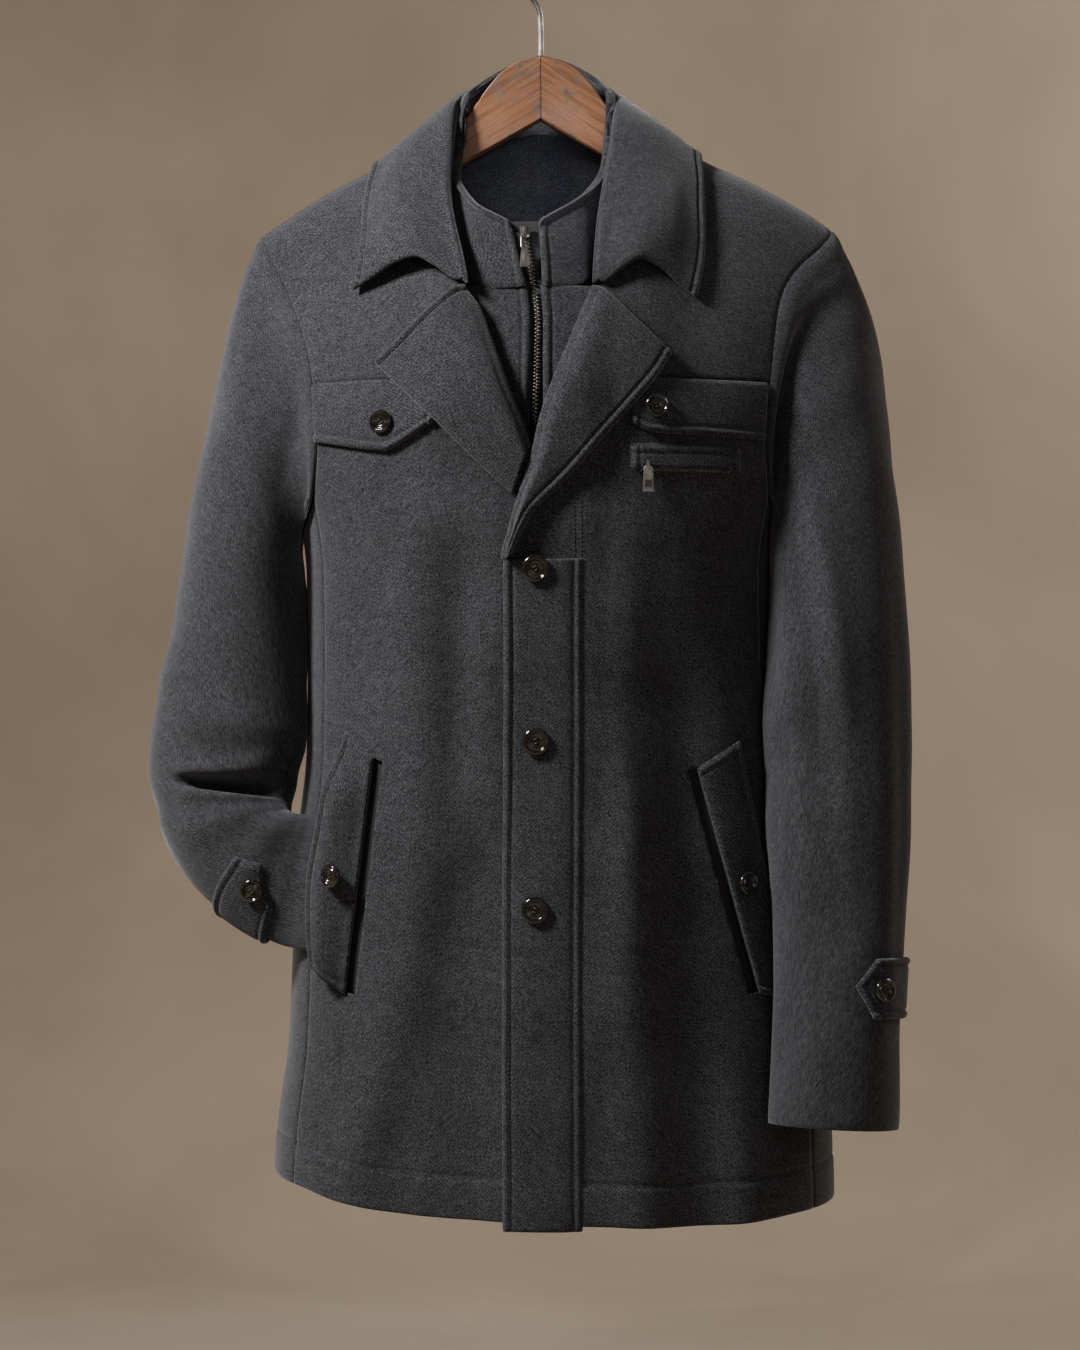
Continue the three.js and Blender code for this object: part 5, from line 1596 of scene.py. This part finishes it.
def buttonMesh():
    # one button a unit in radius and depth: a rim ring, a sunk middle and four holes
    profile = [
        (0.0, 0.0), (0.86, 0.0), (0.97, 0.1), (1.0, 0.32), (0.985, 0.62), (0.94, 0.86), (0.86, 0.99),
        (0.79, 0.98), (0.73, 0.84), (0.70, 0.70), (0.64, 0.64), (0.58, 0.72), (0.54, 0.78), (0.48, 0.74),
        (0.42, 0.60), (0.34, 0.54), (0.0, 0.52),
    ]
    count = 48
    turns = [2 * math.pi * k / count for k in range(count)]
    points = [(0, 0, 0)]
    for r, h in profile[1:-1]:
        points += [(r * math.cos(a), r * math.sin(a), h) for a in turns]
    points.append((0, 0, profile[-1][1]))
    faces = [(0, 1 + (k + 1) % count, 1 + k) for k in range(count)]
    for ring in range(len(profile) - 3):
        a, b = 1 + ring * count, 1 + (ring + 1) * count
        faces += [(a + k, a + (k + 1) % count, b + (k + 1) % count, b + k) for k in range(count)]
    last = 1 + (len(profile) - 3) * count
    faces += [(last + k, last + (k + 1) % count, len(points) - 1) for k in range(count)]
    mesh = bpy.data.meshes.new("button")
    mesh.from_pydata(points, [], faces)
    faceOut(mesh)
    drill = bmesh.new()
    for k in range(4):
        angle = math.pi / 4 + k * math.pi / 2
        off, radius = drilled["off"], drilled["radius"]
        shift = Matrix.Translation((off * math.cos(angle), off * math.sin(angle), 0.5))
        bmesh.ops.create_cone(
            drill, cap_ends=True, segments=14, radius1=radius, radius2=radius, depth=2, matrix=shift
        )
    holes = bpy.data.meshes.new("drill")
    drill.to_mesh(holes)
    drill.free()
    disc = putInScene("buttonBlank", mesh)
    made = cutAway(disc, putInScene("drill", holes))
    bpy.data.objects.remove(disc)
    made.materials.clear()
    smoothOver(made, paints["button"], 50)
    return made


buttonBlank = buttonMesh()
threadRuns = []


def putButton(name, size, foot, normal, spin=0.0):
    first, *rest = name.split("_")
    piece = putInScene(first + "".join(word.title() for word in rest), buttonBlank.copy())
    radius, thick = size / 2000, button["thick"] / 1000
    turn = Vector(normal).to_track_quat("Z", "Y").to_matrix().to_4x4() @ Matrix.Rotation(spin, 4, "Z")
    stand = Matrix.Translation(Vector(foot) / 1000) @ turn @ Matrix.Diagonal((radius, radius, thick, 1))
    piece.data.transform(stand)
    piece.data.update()
    seat(piece, "button", nodes=[name])
    for y in (drilled["thread"], -drilled["thread"]):
        corners = [(way * drilled["thread"], y, h) for way, h in ((1, 0.2), (1, 0.66), (-1, 0.66), (-1, 0.2))]
        run = np.array([stand @ Vector(corner) for corner in corners]) * 1000
        threadRuns.append((run, np.tile(np.array(normal, float), (4, 1))))


def buttonOnFront(name, size, x, z, lift, spin):
    low, high = (onFront(np.array(x), np.array(z), np.array(lift + more)) for more in (0, 1.0))
    normal = unit(high - low)
    putButton(name, size, low + normal * (seam + 0.2), normal, spin)


def buttonOnCuff(side):
    turn, t = tabs[side]["button"]

    def at(onTurn, onT, over):
        return sleevePoint(side, t + onT, turn + onTurn, tabs[side]["lift"] + over)
    foot = at(0, 0, 0)
    normal = unit(np.cross(at(2, 0, 0) - foot, at(0, 0.05, 0) - foot))
    if np.dot(normal, at(0, 0, 1) - foot) < 0:
        normal = -normal
    putButton(f"button_cuff_{side}", button["small"], foot + normal * (seam + 0.5), normal, 0.6)


for name, size, x, z, lift, spin in (
    ("button_front_1", "large", -4.5, -500, placket["lift"], 0.5),
    ("button_front_2", "large", -3.8, -631.5, placket["lift"], 0.2),
    ("button_front_3", "large", -3.8, -760, placket["lift"], -0.3),
    ("button_flap_right", "small", -120.3, -389, 3.6, 0.8),
    ("button_flap_left", "small", 86, -377.5, 3.6, 0.1),
    ("button_welt_right", "small", -150.8, -736, 15.6, 0.4),
    ("button_welt_left", "small", 157, -742, 4.2, -0.4),
):
    buttonOnFront(name, button[size], x, z, lift, spin)
for side in sides:
    buttonOnCuff(side)
print("buttons sewn")

# the zipped chest pocket: a welt sewn along its top and ends, over the zip
chestWelt = {"right": 68.5, "left": 152.3, "low": -423.8, "high": -406.6}
chestTeeth = {"from": 76, "to": 146, "pitch": 1.25, "z": -425.4, "aside": 0.5, "size": (0.95, 2.0, 0.8)}


def chestPoint(u, v, lift):
    x = lerp(chestWelt["right"], chestWelt["left"], u)
    return frontPoint("left", (x, lerp(chestWelt["low"], chestWelt["high"], v)), lift)


def onLeft(x, z, lift):
    return frontPoint("left", (np.array(x), np.array(z)), np.array(lift))


laidCloth(
    "chestWelt", ["chest_welt"], chestPoint, 26, 60,
    {"start": "topstitch", "end": "topstitch", "high": "topstitch", "low": "plain"}, 1.8,
    ease=(0.4, 0.3), bulge=0.8, lift=lambda u, v: 1.9 + 1.3 * (1 - v) ** 1.5, rests=["front_left"],
)
places = []
for k, x in enumerate(np.arange(chestTeeth["from"], chestTeeth["to"], chestTeeth["pitch"])):
    z = chestTeeth["z"] + chestTeeth["aside"] * (1 if k % 2 else -1)
    here = onLeft(x, z, 0.5)
    across, out = unit(onLeft(x + 1, z, 0.5) - here), unit(onLeft(x, z, 1.5) - here)
    places.append((here, across, unit(np.cross(out, across)), out))
boxes("chestZipTeeth", places, chestTeeth["size"], "teeth", ["chest_zip"])


# stitching
def threadMesh(name, runs, radius, paint="thread", sidesOf=6, body="coat", nodes=()):
    # one round thread or wire along each run of points
    points, quads = [], []
    for run, outward in runs:
        count = len(run)
        tangent = unit(np.gradient(run, axis=0))
        across = unit(np.cross(tangent, outward))
        up = np.cross(across, tangent)
        start = len(points)
        for k in range(count):
            share = radius * (0.45 if k in (0, count - 1) else 1)
            for n in range(sidesOf):
                a = 2 * math.pi * n / sidesOf
                points.append(run[k] + (across[k] * math.cos(a) + up[k] * math.sin(a)) * share)
        for k in range(count - 1):
            for n in range(sidesOf):
                m = (n + 1) % sidesOf
                a, b = start + k * sidesOf, start + (k + 1) * sidesOf
                quads.append([a + n, a + m, b + m, b + n])
        for cap, flip in ((start, 1), (start + (count - 1) * sidesOf, -1)):
            for n in range(0, sidesOf - 2, 2):
                quads.append([cap + (sidesOf - 1 - m) for m in (n + 2, n + 1, n, sidesOf - 1)][::-flip])
    piece = makeMesh(name, np.array(points), np.array(quads), np.zeros((len(quads), 4, 2)), paint)
    return seat(piece, paint, body, nodes)


stitch = {"pitch": 3.3, "long": 2.5, "radius": 0.24, "sink": 0.05, "arch": 0.22}
stitchShape = table("share rise", [[0, -0.25], [0.15, 0.6], [0.5, 1], [0.85, 0.6], [1, -0.25]])
runs = []
for points, outward in seams:
    walk = lengths(points, 0)
    for begin in np.arange(1, walk[-1] - stitch["pitch"], stitch["pitch"]):
        at = begin + stitchShape["share"] * stitch["long"]
        here, out = (
            np.stack([np.interp(at, walk, found[:, k]) for k in range(3)], -1) for found in (points, outward)
        )
        rise = stitchShape["rise"][:, None] * stitch["arch"]
        runs.append((here + unit(out) * (rise + stitch["sink"]), unit(out)))
threadMesh("topStitching", runs, stitch["radius"])
threadMesh("buttonThread", threadRuns, 0.55)
print("stitches:", len(runs))


# hanger and hardware
def roundedPlate(name, outline, thick, bevel, paint, stand, nodes=(), body="coat"):
    # an upright plate with rounded edges; outline is (x, z) points, thick runs along Y
    p = np.array(outline, float)
    if (p[:, 0] * np.roll(p[:, 1], -1) - np.roll(p[:, 0], -1) * p[:, 1]).sum() < 0:
        p = p[::-1]
    run = unit(np.roll(p, -1, 0) - p)
    before = np.roll(run, 1, 0)
    side = unit(run + before)
    inward = np.stack([-side[:, 1], side[:, 0]], -1)
    inward = inward / np.maximum(0.5, np.abs((side * run).sum(-1)))[:, None]
    levels = [(-1, 1), (-1, 0.55), (-0.86, 0.2), (-0.55, 0)]
    levels += [(-d, i) for d, i in reversed(levels)]
    count, points = len(p), []
    for deep, inset in levels:
        y = math.copysign(thick / 2 - bevel * (1 - abs(deep)) / 0.45 if abs(deep) < 1 else thick / 2, deep)
        ring = p + inward * (inset * bevel)
        points += [Vector((x, y, z)) for x, z in ring]
    faces = [tuple(range(count))[::-1], tuple(range((len(levels) - 1) * count, len(levels) * count))]
    for level in range(len(levels) - 1):
        a, b = level * count, (level + 1) * count
        faces += [(a + k, a + (k + 1) % count, b + (k + 1) % count, b + k) for k in range(count)]
    mesh = bpy.data.meshes.new(name)
    mesh.from_pydata([stand @ q / 1000 for q in points], [], faces)
    faceOut(mesh)
    smoothOver(mesh, paints[paint], 38)
    return seat(putInScene(name, mesh), paint, body, nodes)


armTop = [
    [0, -88], [9, -88.6], [18, -91.5], [26, -96], [33, -101.5], [42, -112], [60, -137], [75, -155],
    [100, -172], [130, -191], [170, -210], [194, -224],
]
armBottom = [
    [200, -232], [196, -243], [170, -233], [130, -211], [85, -186.5], [40, -161], [0, -138.4],
]
upper = curvePoints(armTop, 90)
lower = np.concatenate([curvePoints(armBottom[:3], 16), curvePoints(armBottom[2:], 60)[1:]])
half = np.concatenate([upper, lower])
wood = np.concatenate([half, half[1:-1][::-1] * np.array([-1, 1])])
roundedPlate("hangerWood", wood, 14, 2.5, "wood", Matrix.Identity(4), ["hanger_wood"])

hookLine = [
    [0, -87.6], [0, -64], [-1.5, -50], [-8, -39.5], [-17, -30.5], [-20.5, -18.5], [-17, -6],
    [-8.5, 0.7], [0.5, 2.1], [11, -0.8], [18.5, -9], [20.5, -19], [17.5, -29],
]
flat = curvePoints(hookLine, 160)
hookRun = np.stack([flat[:, 0], 0 * flat[:, 0], flat[:, 1]], -1)
hookWay = np.tile([0.0, 1.0, 0.0], (160, 1))
threadMesh("hangerHook", [(hookRun, hookWay)], 2.1, "steel", 20, nodes=["hanger_hook"])


def forwardBy(stand, out):
    return stand @ Matrix.Translation((0, -out, 0))


lean = Matrix.Rotation(-0.38, 4, "X")
sliderAt = Matrix.Translation((-12.4, -81.3, -240)) @ lean
shield = [
    [-4.2, 5], [-1.6, 5], [-1.1, 3.6], [1.1, 3.6], [1.6, 5], [4.2, 5], [3.9, 0.5], [3.1, -5], [-3.1, -5],
    [-3.9, 0.5],
]
roundedPlate("zipSlider", shield, 2.6, 0.55, "zip", forwardBy(sliderAt, 1.4), ["zip_slider"])
bridge = [[-1.2, 4], [1.2, 4], [1.5, -3.6], [-1.5, -3.6]]
roundedPlate("zipBridge", bridge, 1.1, 0.4, "zip", forwardBy(sliderAt, 4.0))
for name, z in (("bridgeFootA", 3.2), ("bridgeFootB", -2.9)):
    foot = [[-1.1, z + 0.7], [1.1, z + 0.7], [1.1, z - 0.7], [-1.1, z - 0.7]]
    roundedPlate(name, foot, 1.8, 0.25, "zip", forwardBy(sliderAt, 3.0))

collarPull = "collar_zip_pull"
pullAt = Matrix.Translation((-12.4, -86.6, -241)) @ lean
tabOutline = curvePoints([[-2.4, -13], [0, -12.2], [2.4, -13]], 9).tolist()
tabOutline += [[3.1, -17.5], [4, -28.6], [3.3, -30], [-3.3, -30], [-4, -28.6], [-3.1, -17.5]]
roundedPlate("collarZipPull", tabOutline, 1.5, 0.45, "zip", forwardBy(pullAt, 0.75), ["zip_pull"], collarPull)
inset = [[-1.3, -24.5], [1.3, -24.5], [1.3, -18.5], [-1.3, -18.5]]
roundedPlate("pullInset", inset, 1.9, 0.3, "teeth", forwardBy(pullAt, 0.75), body=collarPull)
ring = {"count": 41, "radius": 2.9, "stretch": 3.4, "middle": -7.6, "out": -0.75}
link = []
for k in range(ring["count"]):
    angle = 2 * math.pi * k / (ring["count"] - 1)
    x, up = ring["radius"] * math.cos(angle), ring["radius"] * math.sin(angle)
    z = ring["middle"] + ring["stretch"] * math.copysign(1, math.sin(angle)) + up
    link.append(pullAt @ Vector((x, ring["out"], z)))
linkWay = np.tile([0.0, -1.0, 0.0], (ring["count"], 1))
threadMesh("pullLink", [(np.array(link), linkWay)], 0.68, "zip", 10, collarPull)

pocketAt = Matrix.Translation(Vector(onFront(np.array(80.5), np.array(-417.5), np.array(3.6))))
pocketTab = [
    [-1.1, -0.7], [1.1, -0.7], [1.2, -4.9], [3.3, -6], [3.7, -9.5], [4.6, -24.2], [3.9, -25], [-3.9, -25],
    [-4.6, -24.2], [-3.7, -9.5], [-3.3, -6], [-1.2, -4.9],
]
roundedPlate(
    "chestZipPull", pocketTab, 1.4, 0.4, "pull", forwardBy(pocketAt, 0.7), ["pocket_pull"], "chest_zip_pull"
)
window = [[-2.4, -21.5], [2.4, -21.5], [2.4, -16], [-2.4, -16]]
roundedPlate("pullWindow", window, 1.5, 0.2, "tape", forwardBy(pocketAt, 0.75), body="chest_zip_pull")
print("hanger and hardware placed")

# room, light and camera
room = {"floor": -1.7, "wall": 4.2, "bend": 1.0, "top": 3.4, "paint": (0.46, 0.39, 0.31)}


def plainPaint():
    paint = Paint("paleWall")
    place = paint.node("ShaderNodeTexCoord", {}, {}, out=3)
    cloud = paint.noise(place, 0.8, 4, 0.6, 0.4)
    dark = tuple(c * 0.86 for c in room["paint"])
    light = tuple(c * 1.12 for c in room["paint"])
    return paint.finish(paint.blend(cloud.between(0.3, 0.7), dark, light), Roughness=0.95)


profile = [(0.01, room["floor"]), (room["wall"] - room["bend"], room["floor"])]
for bend in np.linspace(0.1, math.pi / 2, 12):
    run, rise = 1 - math.sin(bend), 1 - math.cos(bend)
    profile.append((room["wall"] - room["bend"] * run, room["floor"] + room["bend"] * rise))
profile.append((room["wall"], room["top"]))
backdropMesh = bpy.data.meshes.new("backdrop")
steps, count = 96, len(profile)
turns = [2 * math.pi * k / steps for k in range(steps)]
points = [(r * math.cos(a), r * math.sin(a), z) for a in turns for r, z in profile]
faces = []
for k in range(steps):
    here, beside = k * count, (k + 1) % steps * count
    faces += [(here + i, beside + i, beside + i + 1, here + i + 1) for i in range(count - 1)]
backdropMesh.from_pydata(points, [], faces)
smoothOver(backdropMesh, plainPaint())
putInScene("backdrop", backdropMesh)

white, warm = (1, 0.97, 0.94), (1, 0.93, 0.84)
lights = {
    "key": {"at": (-1.4, -0.85, 0.8), "aim": (0, -0.05, -0.45), "size": 0.5, "power": 82, "colour": white},
    "fill": {"at": (0.9, -3.0, 0.1), "aim": (0, 0, -0.6), "size": 1.4, "power": 6, "colour": (0.8, 0.88, 1)},
    "rim": {"at": (1.9, 0.7, 0.6), "aim": (0.1, 0, -0.5), "size": 0.7, "power": 8, "colour": warm},
    "neck": {
        "at": (0.2, -2.0, -0.3), "aim": (0, 0.04, -0.185), "size": 0.08, "power": 0.016, "spread": 3.5,
        "colour": (0.9, 0.93, 1),
    },
    "behind": {"at": (-1.4, 2.2, 0.9), "aim": (0, 0, -0.5), "size": 1.2, "power": 30, "colour": white},
    "wallGlow": {
        "at": (2.6, 2.4, 1.6), "aim": (1.5, 4.2, 0.5), "size": 0.5, "power": 45, "colour": (1, 0.9, 0.76),
    },
}
for name, light in lights.items():
    lamp = bpy.data.lights.new(name, "AREA")
    lamp.shape = "DISK"
    lamp.size = light["size"]
    lamp.energy = light["power"]
    lamp.color = light["colour"]
    lamp.spread = math.radians(light.get("spread", 180))
    holder = putInScene(name, lamp)
    holder.location = light["at"]
    aim = Vector(light["aim"]) - Vector(light["at"])
    holder.rotation_euler = aim.to_track_quat("-Z", "Y").to_euler()
world = bpy.data.worlds.new("studio")
world.use_nodes = True
world.node_tree.nodes["Background"].inputs["Color"].default_value = (0.85, 0.9, 1, 1)
world.node_tree.nodes["Background"].inputs["Strength"].default_value = 0.08
bpy.context.scene.world = world

view = {"distance": 2.4, "height": -0.5816, "lens": 80, "aside": 0.0008}
lens = bpy.data.cameras.new("camera")
lens.lens = view["lens"]
lens.sensor_width = 36
lens.clip_start, lens.clip_end = 0.05, 30
lens.dof.use_dof = False
camera = putInScene("camera", lens)
camera.location = (-view["aside"], -view["distance"], view["height"])
camera.rotation_euler = (math.pi / 2, 0, 0)
bpy.context.scene.camera = camera

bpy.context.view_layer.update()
for note in pieceNotes:
    print("cut", *note)
